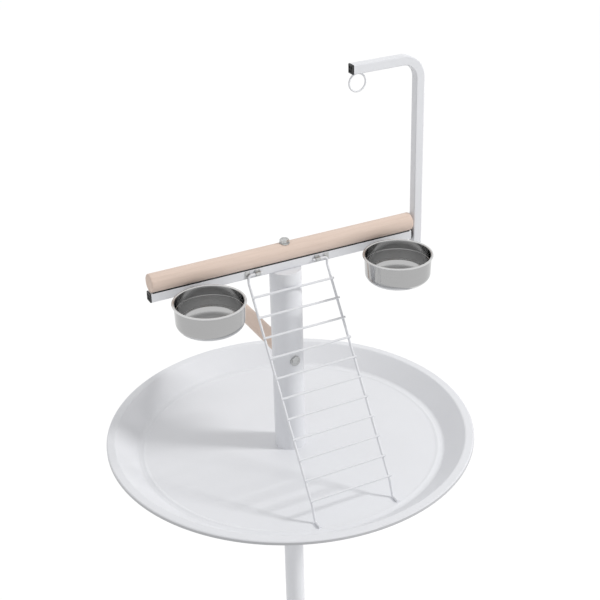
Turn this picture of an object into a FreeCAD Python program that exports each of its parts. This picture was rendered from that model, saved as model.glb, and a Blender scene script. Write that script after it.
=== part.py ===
import FreeCAD, Part
import math
import os
import re
import Sketcher
from FreeCAD import Placement, Rotation, Vector

# Parrot play stand, in millimetres. +X runs along the perch towards the toy hook, -Y faces the
# ladder and the bowls, +Z is up. The origin lies on the floor, on the axis of the pole.

doc = FreeCAD.newDocument("PlayStand")
sheet = doc.addObject("Spreadsheet::Sheet", "Sizes")

SIZES = {
    # Tray: a spun sheet dish with a sloping wall and a flat lip turned down at its edge
    "tray_height": 760,
    "tray_depth": 28,
    "tray_rim_radius": 305,
    "tray_lip_width": 14,
    "tray_wall_run": 35,
    "tray_sheet": 1.2,
    "tray_hem": 6,
    "tray_corner": 7,
    "tray_lip_corner": 3.5,
    "tray_hem_round": 2.4,
    "tray_bead_inset": 10,
    "tray_bead_width": 8,
    "tray_bead_height": 0.7,
    # Pole, the flange welded on it under the tray, and the column that slips over its top
    "pole_radius": 16.5,
    "pole_wall": 1.5,
    "pole_above_bolt": 35,
    "flange_radius": 60,
    "flange_sheet": 3,
    "flange_hub_wall": 3.5,
    "flange_hub_length": 25,
    "column_radius": 25.5,
    "column_wall": 1.5,
    "column_length": 321.6,
    "cap_lid": 3,
    "cap_spigot": 22,
    "cap_edge": 0.8,
    "bush_length": 20,
    "slip_fit": 0.2,
    "weld_fit": 0.05,
    # Square tube of the crossbar and the toy hook
    "tube_side": 15,
    "tube_wall": 1.2,
    "tube_inner_round": 0.6,
    "bar_half": 226,
    "plug_flange": 2,
    "plug_depth": 12,
    "plug_fit": 0.1,
    # Perches
    "perch_radius": 14.5,
    "perch_set_back": 2,
    "perch_edge": 2.2,
    "perch_seat": 1.2,
    "low_perch_radius": 13,
    "low_perch_end": 232,
    "low_perch_rise": 169,
    "low_perch_edge": 2,
    # Bolts and screws
    "bolt_radius": 4,
    "bolt_fit": 0.25,
    "hex_radius": 7.5,
    "hex_height": 5.3,
    "washer_radius": 8.4,
    "washer_sheet": 1.6,
    "saddle_sheet": 1.8,
    "saddle_skirt": 2,
    "low_bolt_bite": 40,
    "screw_radius": 2,
    "screw_head_radius": 4,
    "screw_head_height": 2.4,
    "screw_length": 9,
    # Toy hook, its bracket behind the bar, and the ring welded under its arm
    "hook_gap": 2.9,
    "hook_drop": 17,
    "hook_rise": 264.6,
    "hook_reach": 119.6,
    "hook_bend": 31.5,
    "ring_radius": 14.1,
    "ring_wire": 1.4,
    "ring_inset": 11.5,
    "ring_sink": 0.6,
    "bracket_sheet": 3,
    "bracket_screw_pitch": 13.1,
    "bracket_rise": 39,
    "bracket_round": 3,
    "bracket_margin": 8,
    # Food and water bowls with the clips on their backs and the hangers on the bar
    "bowl_end_inset": 65,
    "bowl_radius": 52.8,
    "bowl_rim_width": 2.7,
    "bowl_taper": 1.5,
    "bowl_depth": 43.5,
    "bowl_sheet": 1,
    "bowl_corner": 13,
    "bowl_roll": 1.6,
    "bowl_rim_rise": 16.4,
    "bowl_perch_gap": 3.2,
    "clip_cheek": 2.7,
    "clip_sheet": 1.2,
    "clip_saddle": 1.5,
    "clip_play": 0.3,
    "tongue_width": 20,
    "tongue_sheet": 2,
    "hanger_screw_margin": 4,
    # Wire ladder and its hinge on the bar
    "ladder_half": 68.5,
    "ladder_neck": 5,
    "ladder_foot_inset": 38,
    "ladder_kick": 8,
    "ladder_knee": 30,
    "ladder_toe": 15,
    "ladder_floor_gap": 0.3,
    "rail_wire": 2,
    "rail_bend": 5,
    "rung_wire": 1.8,
    "rung_overhang": 2.6,
    "rung_first": 37,
    "rung_column_gap": 0.4,
    "knuckle_radius": 3.5,
    "knuckle_length": 8,
    "knuckle_inset": 16.5,
    "knuckle_plate": 2,
    "stop_plate": 1.2,
    "hinge_plate_half": 5.5,
    "hinge_fit": 0.08,
    "hinge_pin_end": 4,
    # Cross base of square tube
    "base_tube": 25,
    "base_wall": 1.5,
    "base_inner_round": 1,
    "base_half": 280,
    "socket_plate": 3,
    "socket_plate_half": 50,
    "socket_corner": 7.5,
    "socket_bolt_margin": 12,
    "socket_wall": 3,
    "socket_height": 55,
    "pole_bolt_rise": 30,
    "nut_height": 6,
    "bolt_end": 1.5,
    # Swivel casters
    "caster_inset": 18,
    "caster_trail": 16,
    "wheel_radius": 25,
    "wheel_headroom": 16,
    "wheel_width": 18,
    "wheel_edge": 3,
    "wheel_recess": 3,
    "wheel_tread": 6,
    "wheel_hub": 9,
    "axle_radius": 3,
    "axle_head": 5,
    "axle_head_height": 1.8,
    "fork_sheet": 2.5,
    "fork_gap": 1,
    "fork_plate": 3,
    "fork_plate_radius": 17,
    "fork_eye": 7.5,
    "fork_foot_round": 6.7,
    "fork_nose_inset": 5,
    "fork_tail_inset": 2,
    "collar_radius": 11,
    "collar_sheet": 3,
    "stem_radius": 5,
    "stem_length": 18,
    "pivot_radius": 4,
    "rivet_radius": 7,
    "rivet_sheet": 2,
    "swivel_gap": 0.3,
    "running_fit": 0.05,
}

RUNG_COUNT = 11

for row, (alias, size) in enumerate(SIZES.items(), start=1):
    cell = "B%d" % row
    sheet.set("A%d" % row, alias.replace("_", " "))
    sheet.set(cell, str(size))
    sheet.setAlias(cell, alias)
doc.recompute()


# --- Sizes that follow from others, written as expressions of the sheet ------------------------

TRAY_FLOOR = "(tray_height - tray_depth)"
TRAY_WALL_FOOT = "(tray_rim_radius - tray_lip_width - tray_wall_run)"
TRAY_HOLE = "(pole_radius + slip_fit)"
TRAY_BEAD = "(%s - tray_bead_inset)" % TRAY_WALL_FOOT
TUBE_ROUND = "(tube_wall + tube_inner_round)"
BASE_ROUND = "(base_wall + base_inner_round)"
BAR_BOTTOM = "(tray_height - tray_depth + column_length + cap_lid)"
BAR_MIDDLE = "(tray_height - tray_depth + column_length + cap_lid + tube_side / 2)"
BAR_TOP = "(tray_height - tray_depth + column_length + cap_lid + tube_side)"
PERCH_AXIS = "(tray_height - tray_depth + column_length + cap_lid + tube_side + perch_radius)"
PERCH_HALF = "(bar_half + plug_flange - perch_set_back)"
PERCH_SEAT = "(%s + perch_radius - perch_seat)" % PERCH_AXIS
LOW_BOLT = "(tray_height - tray_depth + low_perch_rise)"
POLE_TOP = "(tray_height - tray_depth + low_perch_rise + pole_above_bolt)"
CASTER_HEIGHT = "(2 * wheel_radius + wheel_headroom)"
CASTER_SPREAD = "(base_half - caster_inset)"
SOCKET_BOLT = "(socket_plate_half - socket_bolt_margin)"
POLE_BOTTOM = "(%s + base_tube + socket_plate)" % CASTER_HEIGHT
COLUMN_BORE = "(column_radius - column_wall)"
BOLT_HOLE = "(bolt_radius + bolt_fit)"
SCREW_HOLE = "(screw_radius + bolt_fit)"
POST_X = "(bar_half + plug_flange + hook_gap + tube_side / 2)"
POST_BOTTOM = "(%s - hook_drop)" % BAR_BOTTOM
ARM_HEIGHT = "(%s + perch_radius + hook_rise - tube_side / 2)" % PERCH_AXIS
RING_X = "(%s - hook_reach + ring_inset)" % POST_X
RING_Z = "(%s - tube_side / 2 - ring_radius - ring_wire + ring_sink)" % ARM_HEIGHT
BRACKET_FOOT = "(plug_flange + hook_gap + plug_depth + 2 * bracket_margin + bracket_screw_pitch)"
BOWL_SPREAD = "(bar_half - bowl_end_inset)"
BOWL_RIM_RADIUS = "(bowl_radius + bowl_rim_width)"
BOWL_Y = "(-perch_radius - bowl_perch_gap - %s)" % BOWL_RIM_RADIUS
BOWL_RIM = "(%s + bowl_rim_rise)" % BAR_BOTTOM
RIM_UNDERSIDE = "(%s - 2 * bowl_roll)" % BOWL_RIM
TONGUE_FRONT = "(%s + bowl_radius + clip_saddle)" % BOWL_Y
HANGER_SCREW = "(tongue_width / 2 - hanger_screw_margin)"
CLIP_WIDTH = "(tongue_width + 2 * clip_play + 2 * clip_cheek)"
CLIP_TOP = "(%s - clip_play)" % RIM_UNDERSIDE
TONGUE_TOP = "(%s - clip_sheet - clip_play)" % CLIP_TOP
CLIP_BOTTOM = "(%s + clip_play)" % BAR_BOTTOM
HINGE_Y = "(-tube_side / 2 - knuckle_radius)"
KNUCKLE_SPREAD = "(ladder_half - knuckle_inset)"
PIN_END = "(%s - knuckle_length / 2 - hinge_pin_end)" % KNUCKLE_SPREAD
NECK_Z = "(%s - ladder_neck)" % BAR_BOTTOM
TOE_Z = "(%s + rail_wire + ladder_floor_gap)" % TRAY_FLOOR
LADDER_FOOT = "(%s - ladder_foot_inset)" % TRAY_WALL_FOOT
LADDER_AIM = "(%s + ladder_kick)" % LADDER_FOOT
BASE_MIDDLE = "(%s + base_tube / 2)" % CASTER_HEIGHT
BASE_TOP = "(%s + base_tube)" % CASTER_HEIGHT
FORK_TOP = "(%s - collar_sheet - swivel_gap)" % CASTER_HEIGHT
FORK_HALF = "(wheel_width / 2 + fork_gap)"

LEFT = -1
RIGHT = 1
BEHIND = -1
BOTH = 0
AHEAD = 1


def bound(expression):
    """Give every size in an expression the name it has in the sheet."""
    return re.sub(r"[a-z]+(?:_[a-z]+)+", lambda found: "Sizes." + found.group(0), str(expression))


def number(expression):
    """Work an expression out to a plain number."""
    return float(sheet.evalExpression(bound(expression)))


def bind(item, target, expression):
    """Tie one property of an object to the sheet."""
    item.setExpression(target, bound(expression))


def place(item, x="0", y="0", z="0", turn=None):
    """Put an object where the expressions say, turned about its own origin."""
    if turn is not None:
        item.Placement = Placement(Vector(), turn)
    bind(item, "Placement.Base.x", x)
    bind(item, "Placement.Base.y", y)
    bind(item, "Placement.Base.z", z)
    return item


ALONG_X = Rotation(Vector(0, 1, 0), 90)
ALONG_MINUS_X = Rotation(Vector(0, 1, 0), -90)
ALONG_Y = Rotation(Vector(1, 0, 0), -90)
ALONG_MINUS_Y = Rotation(Vector(1, 0, 0), 90)
UPSIDE_DOWN = Rotation(Vector(1, 0, 0), 180)

# The middle of a quarter circle lies this share of the radius along each axis
DIAGONAL = math.sqrt(0.5)

nodes = []


def keep(item, label):
    """Name a finished sub-part and put it on the list of exported nodes."""
    item.Label = label
    nodes.append(item)
    return item


# --- Sketches and features ------------------------------------------------------------------


def new_body(name):
    return doc.addObject("PartDesign::Body", name)


def new_sketch(body, role, offset=None):
    """A sketch on one of the body's own origin planes, or a distance in front of it."""
    plane = next(item for item in body.Origin.OriginFeatures if item.Role == role)
    sketch = body.newObject("Sketcher::SketchObject", body.Name + "Sketch")
    sketch.AttachmentSupport = [(plane, "")]
    sketch.MapMode = "FlatFace"
    if offset is not None:
        bind(sketch, "AttachmentOffset.Base.z", offset)
    return sketch


def tie_point(sketch, geometry, point, x, y):
    """Hold a point of the sketch at the two given distances from the origin."""
    for kind, distance, axis in (("DistanceX", x, -2), ("DistanceY", y, -1)):
        if str(distance) == "0":
            sketch.addConstraint(Sketcher.Constraint("PointOnObject", geometry, point, axis))
            continue
        rule = Sketcher.Constraint(kind, -1, 1, geometry, point, number(distance))
        index = sketch.addConstraint(rule)
        bind(sketch, "Constraints[%d]" % index, distance)


def draw_outline(sketch, corners):
    """Join the corners with straight lines into one closed outline."""
    first = sketch.GeometryCount
    points = [Vector(number(x), number(y), 0) for x, y in corners]
    count = len(points)
    for index, point in enumerate(points):
        sketch.addGeometry(Part.LineSegment(point, points[(index + 1) % count]), False)
    for index in range(count):
        following = first + (index + 1) % count
        sketch.addConstraint(Sketcher.Constraint("Coincident", first + index, 2, following, 1))
    for index, (x, y) in enumerate(corners):
        tie_point(sketch, first + index, 1, x, y)


def draw_circle(sketch, radius, x="0", y="0"):
    centre = Vector(number(x), number(y), 0)
    circle = sketch.addGeometry(Part.Circle(centre, Vector(0, 0, 1), number(radius)), False)
    tie_point(sketch, circle, 3, x, y)
    index = sketch.addConstraint(Sketcher.Constraint("Radius", circle, number(radius)))
    bind(sketch, "Constraints[%d]" % index, radius)


def draw_rounded_square(sketch, half, rounding):
    """A square about the origin whose sides run tangent into its rounded corners."""
    side = number(half)
    flat = side - number(rounding)
    bulge = number(rounding) * DIAGONAL
    first = sketch.GeometryCount
    for quarter in range(4):
        turn = Rotation(Vector(0, 0, 1), 90 * quarter)
        start = turn.multVec(Vector(-flat, -side, 0))
        end = turn.multVec(Vector(flat, -side, 0))
        middle = turn.multVec(Vector(flat + bulge, -flat - bulge, 0))
        after = turn.multVec(Vector(side, -flat, 0))
        sketch.addGeometry(Part.LineSegment(start, end), False)
        sketch.addGeometry(Part.Arc(end, middle, after), False)
    for quarter in range(4):
        line = first + 2 * quarter
        arc = line + 1
        following = first + (2 * quarter + 2) % 8
        direction = "Horizontal" if quarter % 2 == 0 else "Vertical"
        sketch.addConstraint(Sketcher.Constraint(direction, line))
        sketch.addConstraint(Sketcher.Constraint("Tangent", line, 2, arc, 1))
        sketch.addConstraint(Sketcher.Constraint("Tangent", arc, 2, following, 1))
        if quarter:
            sketch.addConstraint(Sketcher.Constraint("Equal", first + 1, arc))
    radius = Sketcher.Constraint("Radius", first + 1, number(rounding))
    bind(sketch, "Constraints[%d]" % sketch.addConstraint(radius), rounding)
    for kind, line, sign in (
        ("DistanceY", first, -1),
        ("DistanceX", first + 2, 1),
        ("DistanceY", first + 4, 1),
        ("DistanceX", first + 6, -1),
    ):
        rule = Sketcher.Constraint(kind, -1, 1, line, 1, sign * side)
        bind(sketch, "Constraints[%d]" % sketch.addConstraint(rule), "%d * %s" % (sign, half))


def pad(body, sketch, length, symmetric=False):
    feature = body.newObject("PartDesign::Pad", body.Name + "Pad")
    feature.Profile = sketch
    if symmetric:
        feature.SideType = "Symmetric"
    bind(feature, "Length", length)
    return feature


def cut_through(body, sketch, side=BOTH):
    """Cut the sketch right through the body, or only behind or in front of the sketch's plane."""
    feature = body.newObject("PartDesign::Pocket", body.Name + "Hole")
    feature.Profile = sketch
    feature.Type = "ThroughAll"
    if side == BOTH:
        feature.SideType = "Symmetric"
    feature.Reversed = side == AHEAD
    return feature


def cut_slot(body, sketch, length):
    """Cut the sketch to a set width, half on each side of its plane."""
    feature = body.newObject("PartDesign::Pocket", body.Name + "Slot")
    feature.Profile = sketch
    feature.SideType = "Symmetric"
    bind(feature, "Length", length)
    return feature


def round_edges(body, radius, chosen):
    """Round the edges of the body's last feature that the given test picks."""
    doc.recompute()
    tip = body.Tip
    names = ["Edge%d" % (index + 1) for index, edge in enumerate(tip.Shape.Edges) if chosen(edge)]
    if not names:
        raise RuntimeError("no edge to round on " + body.Name)
    feature = body.newObject("PartDesign::Fillet", body.Name + "Rounding")
    feature.Base = (tip, names)
    bind(feature, "Radius", radius)
    return feature


def is_circle(edge, radius, height=None, axis="z"):
    """True for a round edge of this radius, at this height along the axis if one is given."""
    if edge.Curve.TypeId != "Part::GeomCircle":
        return False
    if abs(edge.Curve.Radius - number(radius)) > 0.001:
        return False
    return height is None or abs(getattr(edge.Curve.Center, axis) - number(height)) < 0.001


def turned(name, corners):
    """A piece turned about Z: the corners are radius and height."""
    body = new_body(name)
    sketch = new_sketch(body, "XZ_Plane")
    draw_outline(sketch, corners)
    feature = body.newObject("PartDesign::Revolution", name + "Turning")
    feature.Profile = sketch
    feature.ReferenceAxis = (sketch, ["V_Axis"])
    feature.Angle = 360
    return body


def ring_outline(inner, outer, bottom, top):
    return [(inner, bottom), (outer, bottom), (outer, top), (inner, top)]


def rod(name, radius, length, x="0", y="0", z="0", turn=None):
    """A plain round rod that starts at the given point."""
    item = doc.addObject("Part::Cylinder", name)
    bind(item, "Radius", radius)
    bind(item, "Height", length)
    return place(item, x, y, z, turn)


def block(name, length, width, height, x="0", y="0", z="0"):
    item = doc.addObject("Part::Box", name)
    bind(item, "Length", length)
    bind(item, "Width", width)
    bind(item, "Height", height)
    return place(item, x, y, z)


def cut(name, base, tool):
    item = doc.addObject("Part::Cut", name)
    item.Base = base
    item.Tool = tool
    return item


def fuse(name, pieces):
    item = doc.addObject("Part::MultiFuse", name)
    item.Shapes = pieces
    return item


def group(label, pieces):
    """Like pieces that share one node as separate solids."""
    item = doc.addObject("Part::Compound", label)
    item.Links = pieces
    return keep(item, label)


def square_tube(name, half, side, wall, rounding):
    """A straight square tube along X, its middle at the origin."""
    body = new_body(name)
    sketch = new_sketch(body, "YZ_Plane")
    draw_rounded_square(sketch, "%s / 2" % side, rounding)
    draw_rounded_square(sketch, "(%s / 2 - %s)" % (side, wall), "(%s - %s)" % (rounding, wall))
    pad(body, sketch, "2 * %s" % half, symmetric=True)
    return body


def end_plug(name, side, wall, rounding, x, y, z, turn):
    """A push-in tube plug: its flange covers the tube's end and its body fills the bore."""
    body = new_body(name)
    flange = new_sketch(body, "XY_Plane")
    draw_rounded_square(flange, "%s / 2" % side, rounding)
    pad(body, flange, "plug_flange")
    stem = new_sketch(body, "XY_Plane", "plug_flange")
    draw_rounded_square(stem, "(%s / 2 - %s - plug_fit)" % (side, wall), "(%s - %s)" % (rounding, wall))
    pad(body, stem, "plug_depth")
    return place(body, x, y, z, turn)


def hex_bolt(name, length, x, y, z, turn):
    """A hexagon bolt whose head sits on the given point and whose shank runs along its -Z."""
    head = doc.addObject("Part::Prism", name + "Head")
    head.Polygon = 6
    bind(head, "Circumradius", "hex_radius")
    bind(head, "Height", "hex_height")
    shank = rod(name + "Shank", "bolt_radius", "(%s + hex_height / 2)" % length, z="-%s" % length)
    return place(fuse(name, [head, shank]), x, y, z, turn)


def hex_nut(name):
    """A hexagon nut that stands on its own origin along Z."""
    blank = doc.addObject("Part::Prism", name + "Blank")
    blank.Polygon = 6
    bind(blank, "Circumradius", "hex_radius")
    bind(blank, "Height", "nut_height")
    return cut(name, blank, rod(name + "Bore", "(bolt_radius + weld_fit)", "nut_height"))


def pan_screw(name, x, y, z, turn):
    """A round-headed screw whose head sits on the given point."""
    head = rod(name + "Head", "screw_head_radius", "screw_head_height")
    shank = rod(name + "Shank", "screw_radius", "(screw_length + screw_head_height / 2)", z="-screw_length")
    return place(fuse(name, [head, shank]), x, y, z, turn)


# --- Base ---------------------------------------------------------------------------------------


def make_base():
    """A cross of square tube: one long beam and two arms butted against its sides."""
    beam = square_tube("BaseBeam", "base_half", "base_tube", "base_wall", BASE_ROUND)
    stem_holes = new_sketch(beam, "XY_Plane")
    for side in (LEFT, RIGHT):
        draw_circle(stem_holes, "(stem_radius + slip_fit)", "%d * %s" % (side, CASTER_SPREAD))
    cut_through(beam, stem_holes, side=BEHIND)
    bolt_holes = new_sketch(beam, "XY_Plane")
    for side in (LEFT, RIGHT):
        draw_circle(bolt_holes, BOLT_HOLE, "%d * %s" % (side, SOCKET_BOLT))
    cut_through(beam, bolt_holes, side=AHEAD)
    keep(place(beam, z=BASE_MIDDLE), "base_beam")
    arms = []
    for name, side in (("FrontArm", LEFT), ("BackArm", RIGHT)):
        half_length = "((base_half - base_tube / 2) / 2)"
        middle = "((base_half + base_tube / 2) / 2)"
        arm = square_tube(name, half_length, "base_tube", "base_wall", BASE_ROUND)
        hole = new_sketch(arm, "XY_Plane")
        draw_circle(hole, "(stem_radius + slip_fit)", "%d * (%s - %s)" % (side, CASTER_SPREAD, middle))
        cut_through(arm, hole, side=BEHIND)
        bolt_hole = new_sketch(arm, "XY_Plane")
        draw_circle(bolt_hole, BOLT_HOLE, "%d * (%s - %s)" % (side, SOCKET_BOLT, middle))
        cut_through(arm, bolt_hole, side=AHEAD)
        quarter_turn = Rotation(Vector(0, 0, 1), 90)
        arms.append(place(arm, y="%d * %s" % (side, middle), z=BASE_MIDDLE, turn=quarter_turn))
    group("base_arms", arms)
    plugs = []
    reach = "(base_half + plug_flange)"
    for index, (x, y, turn) in enumerate((
        ("-%s" % reach, "0", ALONG_X),
        (reach, "0", ALONG_MINUS_X),
        ("0", "-%s" % reach, ALONG_Y),
        ("0", reach, ALONG_MINUS_Y),
    )):
        plug = end_plug("BasePlug%d" % index, "base_tube", "base_wall", BASE_ROUND,
                        x, y, BASE_MIDDLE, turn)
        plugs.append(plug)
    group("base_end_plugs", plugs)


def make_socket():
    """The square plate and short sleeve that hold the pole on the cross."""
    body = new_body("PoleSocket")
    plate = new_sketch(body, "XY_Plane")
    draw_rounded_square(plate, "socket_plate_half", "socket_corner")
    for x, y in socket_bolt_places():
        draw_circle(plate, BOLT_HOLE, x, y)
    pad(body, plate, "socket_plate")
    sleeve = new_sketch(body, "XY_Plane", "socket_plate")
    draw_circle(sleeve, "(pole_radius + slip_fit + socket_wall)")
    draw_circle(sleeve, "(pole_radius + slip_fit)")
    pad(body, sleeve, "socket_height")
    hole = new_sketch(body, "XZ_Plane")
    draw_circle(hole, BOLT_HOLE, "0", "(socket_plate + pole_bolt_rise)")
    cut_through(body, hole)
    keep(place(body, z=BASE_TOP), "pole_socket")
    bolts = []
    for index, (x, y) in enumerate(socket_bolt_places()):
        head_seat = "(%s + socket_plate)" % BASE_TOP
        length = "(socket_plate + base_wall + hex_height)"
        bolts.append(hex_bolt("SocketBolt%d" % index, length, x, y, head_seat, None))
    group("socket_bolts", bolts)
    outside = "(-pole_radius - slip_fit - socket_wall - weld_fit)"
    height = "(%s + pole_bolt_rise)" % POLE_BOTTOM
    clamped = "(2 * (pole_radius + slip_fit + socket_wall + weld_fit))"
    length = "(%s + nut_height + bolt_end)" % clamped
    bolt = hex_bolt("PoleBolt", length, "0", outside, height, ALONG_MINUS_Y)
    nut = place(hex_nut("PoleNut"), "0", "(%s + %s)" % (outside, clamped), height, ALONG_Y)
    group("pole_bolt", [bolt, nut])


def socket_bolt_places():
    return [
        ("-" + SOCKET_BOLT, "0"),
        (SOCKET_BOLT, "0"),
        ("0", "-" + SOCKET_BOLT),
        ("0", SOCKET_BOLT),
    ]


# --- Casters ------------------------------------------------------------------------------------


CASTERS = {
    "left": ("-" + CASTER_SPREAD, "0"),
    "right": (CASTER_SPREAD, "0"),
    "front": ("0", "-" + CASTER_SPREAD),
    "back": ("0", CASTER_SPREAD),
}


def make_stem(name, x, y):
    """The fixed stem: a threaded end in the tube, a collar, and the pivot riveted under the fork."""
    fork_bore_foot = "(-collar_sheet - 2 * swivel_gap - fork_plate)"
    rivet_foot = "(%s - rivet_sheet)" % fork_bore_foot
    corners = [
        ("0", rivet_foot),
        ("rivet_radius", rivet_foot),
        ("rivet_radius", fork_bore_foot),
        ("pivot_radius", fork_bore_foot),
        ("pivot_radius", "-collar_sheet"),
        ("collar_radius", "-collar_sheet"),
        ("collar_radius", "-weld_fit"),
        ("stem_radius", "-weld_fit"),
        ("stem_radius", "stem_length"),
        ("0", "stem_length"),
    ]
    return place(turned(name, corners), x, y, CASTER_HEIGHT)


def make_fork(name, x, y):
    """A pressed fork: a round top plate and two cheeks that trail back to the axle."""
    body = new_body(name)
    axle_y = "(-caster_trail)"
    axle_z = "(wheel_radius - %s)" % FORK_TOP
    foot = "(%s - fork_eye)" % axle_z
    cheeks = new_sketch(body, "YZ_Plane")
    draw_outline(cheeks, [
        ("(%s - fork_eye)" % axle_y, foot),
        ("(%s + fork_eye)" % axle_y, foot),
        ("(fork_plate_radius - fork_nose_inset)", "-fork_plate"),
        ("(fork_plate_radius - fork_nose_inset)", "0"),
        ("(fork_tail_inset - fork_plate_radius)", "0"),
        ("(%s - fork_eye)" % axle_y, "(%s + fork_eye)" % axle_z),
    ])
    pad(body, cheeks, "(2 * %s + 2 * fork_sheet)" % FORK_HALF, symmetric=True)
    round_edges(body, "fork_foot_round", lambda edge: is_fork_foot(edge, number(foot)))
    inside = new_sketch(body, "YZ_Plane")
    reach = "(2 * wheel_radius)"
    draw_outline(inside, [
        ("-%s" % reach, "-%s" % FORK_TOP),
        (reach, "-%s" % FORK_TOP),
        (reach, "-fork_plate"),
        ("-%s" % reach, "-fork_plate"),
    ])
    cut_slot(body, inside, "2 * %s" % FORK_HALF)
    plate = new_sketch(body, "XY_Plane", "-fork_plate")
    draw_circle(plate, "fork_plate_radius")
    pad(body, plate, "fork_plate")
    pivot_hole = new_sketch(body, "XY_Plane")
    draw_circle(pivot_hole, "(pivot_radius + running_fit)")
    cut_through(body, pivot_hole)
    axle_hole = new_sketch(body, "YZ_Plane")
    draw_circle(axle_hole, "axle_radius", axle_y, axle_z)
    cut_through(body, axle_hole)
    return place(body, x, y, FORK_TOP)


def is_fork_foot(edge, height):
    """True for the two long edges at the bottom of the cheeks."""
    box = edge.BoundBox
    return box.ZMax < height + 0.001 and box.YLength < 0.001


def make_wheel(name, x, y):
    """A wheel with a rounded tread, recessed sides and a hub, turned about X."""
    half = "(wheel_width / 2)"
    web = "(wheel_width / 2 - wheel_recess)"
    rim = "(wheel_radius - wheel_tread)"
    bore = "(axle_radius + running_fit)"
    corners = [
        (bore, "-%s" % half),
        ("wheel_hub", "-%s" % half),
        ("wheel_hub", "-%s" % web),
        (rim, "-%s" % web),
        (rim, "-%s" % half),
        ("wheel_radius", "-%s" % half),
        ("wheel_radius", half),
        (rim, half),
        (rim, web),
        ("wheel_hub", web),
        ("wheel_hub", half),
        (bore, half),
    ]
    body = turned(name, corners)
    round_edges(body, "wheel_edge", lambda edge: is_circle(edge, "wheel_radius"))
    return place(body, x, "(%s - caster_trail)" % y, "wheel_radius", ALONG_X)


def make_axle(name, x, y):
    """A riveted axle: a plain pin through both cheeks with a head on each side."""
    outside = "(%s + fork_sheet + weld_fit)" % FORK_HALF
    pin = rod(name + "Pin", "(axle_radius - running_fit)", "2 * %s" % outside, z="-%s" % outside)
    heads = [
        rod(name + "NearHead", "axle_head", "axle_head_height", z=outside),
        rod(name + "FarHead", "axle_head", "axle_head_height", z="(-%s - axle_head_height)" % outside),
    ]
    return place(fuse(name, [pin] + heads), x, "(%s - caster_trail)" % y, "wheel_radius", ALONG_X)


def make_casters():
    stems = []
    for side, (x, y) in CASTERS.items():
        stems.append(make_stem("Stem" + side, x, y))
        keep(make_fork("Fork" + side, x, y), "caster_fork_" + side)
        keep(make_wheel("Wheel" + side, x, y), "caster_wheel_" + side)
        keep(make_axle("Axle" + side, x, y), "caster_axle_" + side)
    group("caster_stems", stems)


# --- Pole, tray and column ----------------------------------------------------------------------


def make_pole():
    pole = turned("Pole", ring_outline("(pole_radius - pole_wall)", "pole_radius", POLE_BOTTOM, POLE_TOP))
    holes = new_sketch(pole, "XZ_Plane")
    draw_circle(holes, BOLT_HOLE, "0", LOW_BOLT)
    draw_circle(holes, BOLT_HOLE, "0", "(%s + pole_bolt_rise)" % POLE_BOTTOM)
    cut_through(pole, holes)
    keep(pole, "lower_pole")
    top = "(%s - tray_sheet)" % TRAY_FLOOR
    bore = "(pole_radius + weld_fit)"
    hub = "(pole_radius + flange_hub_wall)"
    flange = turned("Flange", [
        (bore, "(%s - flange_hub_length)" % top),
        (hub, "(%s - flange_hub_length)" % top),
        (hub, "(%s - flange_sheet)" % top),
        ("flange_radius", "(%s - flange_sheet)" % top),
        ("flange_radius", top),
        (bore, top),
    ])
    keep(flange, "tray_flange")


def make_tray():
    """The dish: flat floor with a pressed bead, sloping wall, flat lip and turned-down hem."""
    floor = TRAY_FLOOR
    under = "(%s - tray_sheet)" % floor
    wall_head = "(tray_rim_radius - tray_lip_width)"
    shift = "(tray_sheet * (hypot(tray_wall_run; tray_depth) - tray_wall_run) / tray_depth)"
    bead_in = "(%s - tray_bead_width / 2)" % TRAY_BEAD
    bead_out = "(%s + tray_bead_width / 2)" % TRAY_BEAD
    corners = [
        (TRAY_HOLE, under),
        (bead_in, under),
        (TRAY_BEAD, "(%s + tray_bead_height)" % under),
        (bead_out, under),
        ("(%s + %s)" % (TRAY_WALL_FOOT, shift), under),
        ("(%s + %s)" % (wall_head, shift), "(tray_height - tray_sheet)"),
        ("(tray_rim_radius - tray_sheet)", "(tray_height - tray_sheet)"),
        ("(tray_rim_radius - tray_sheet)", "(tray_height - tray_hem)"),
        ("tray_rim_radius", "(tray_height - tray_hem)"),
        ("tray_rim_radius", "tray_height"),
        (wall_head, "tray_height"),
        (TRAY_WALL_FOOT, floor),
        (bead_out, floor),
        (TRAY_BEAD, "(%s + tray_bead_height)" % floor),
        (bead_in, floor),
        (TRAY_HOLE, floor),
    ]
    tray = turned("Tray", corners)
    round_edges(tray, "tray_corner", lambda edge: is_circle(edge, TRAY_WALL_FOOT, floor))
    round_edges(tray, "tray_lip_corner", lambda edge: is_circle(edge, wall_head, "tray_height"))
    round_edges(tray, "tray_hem_round", lambda edge: is_circle(edge, "tray_rim_radius", "tray_height"))
    keep(tray, "tray")


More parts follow.
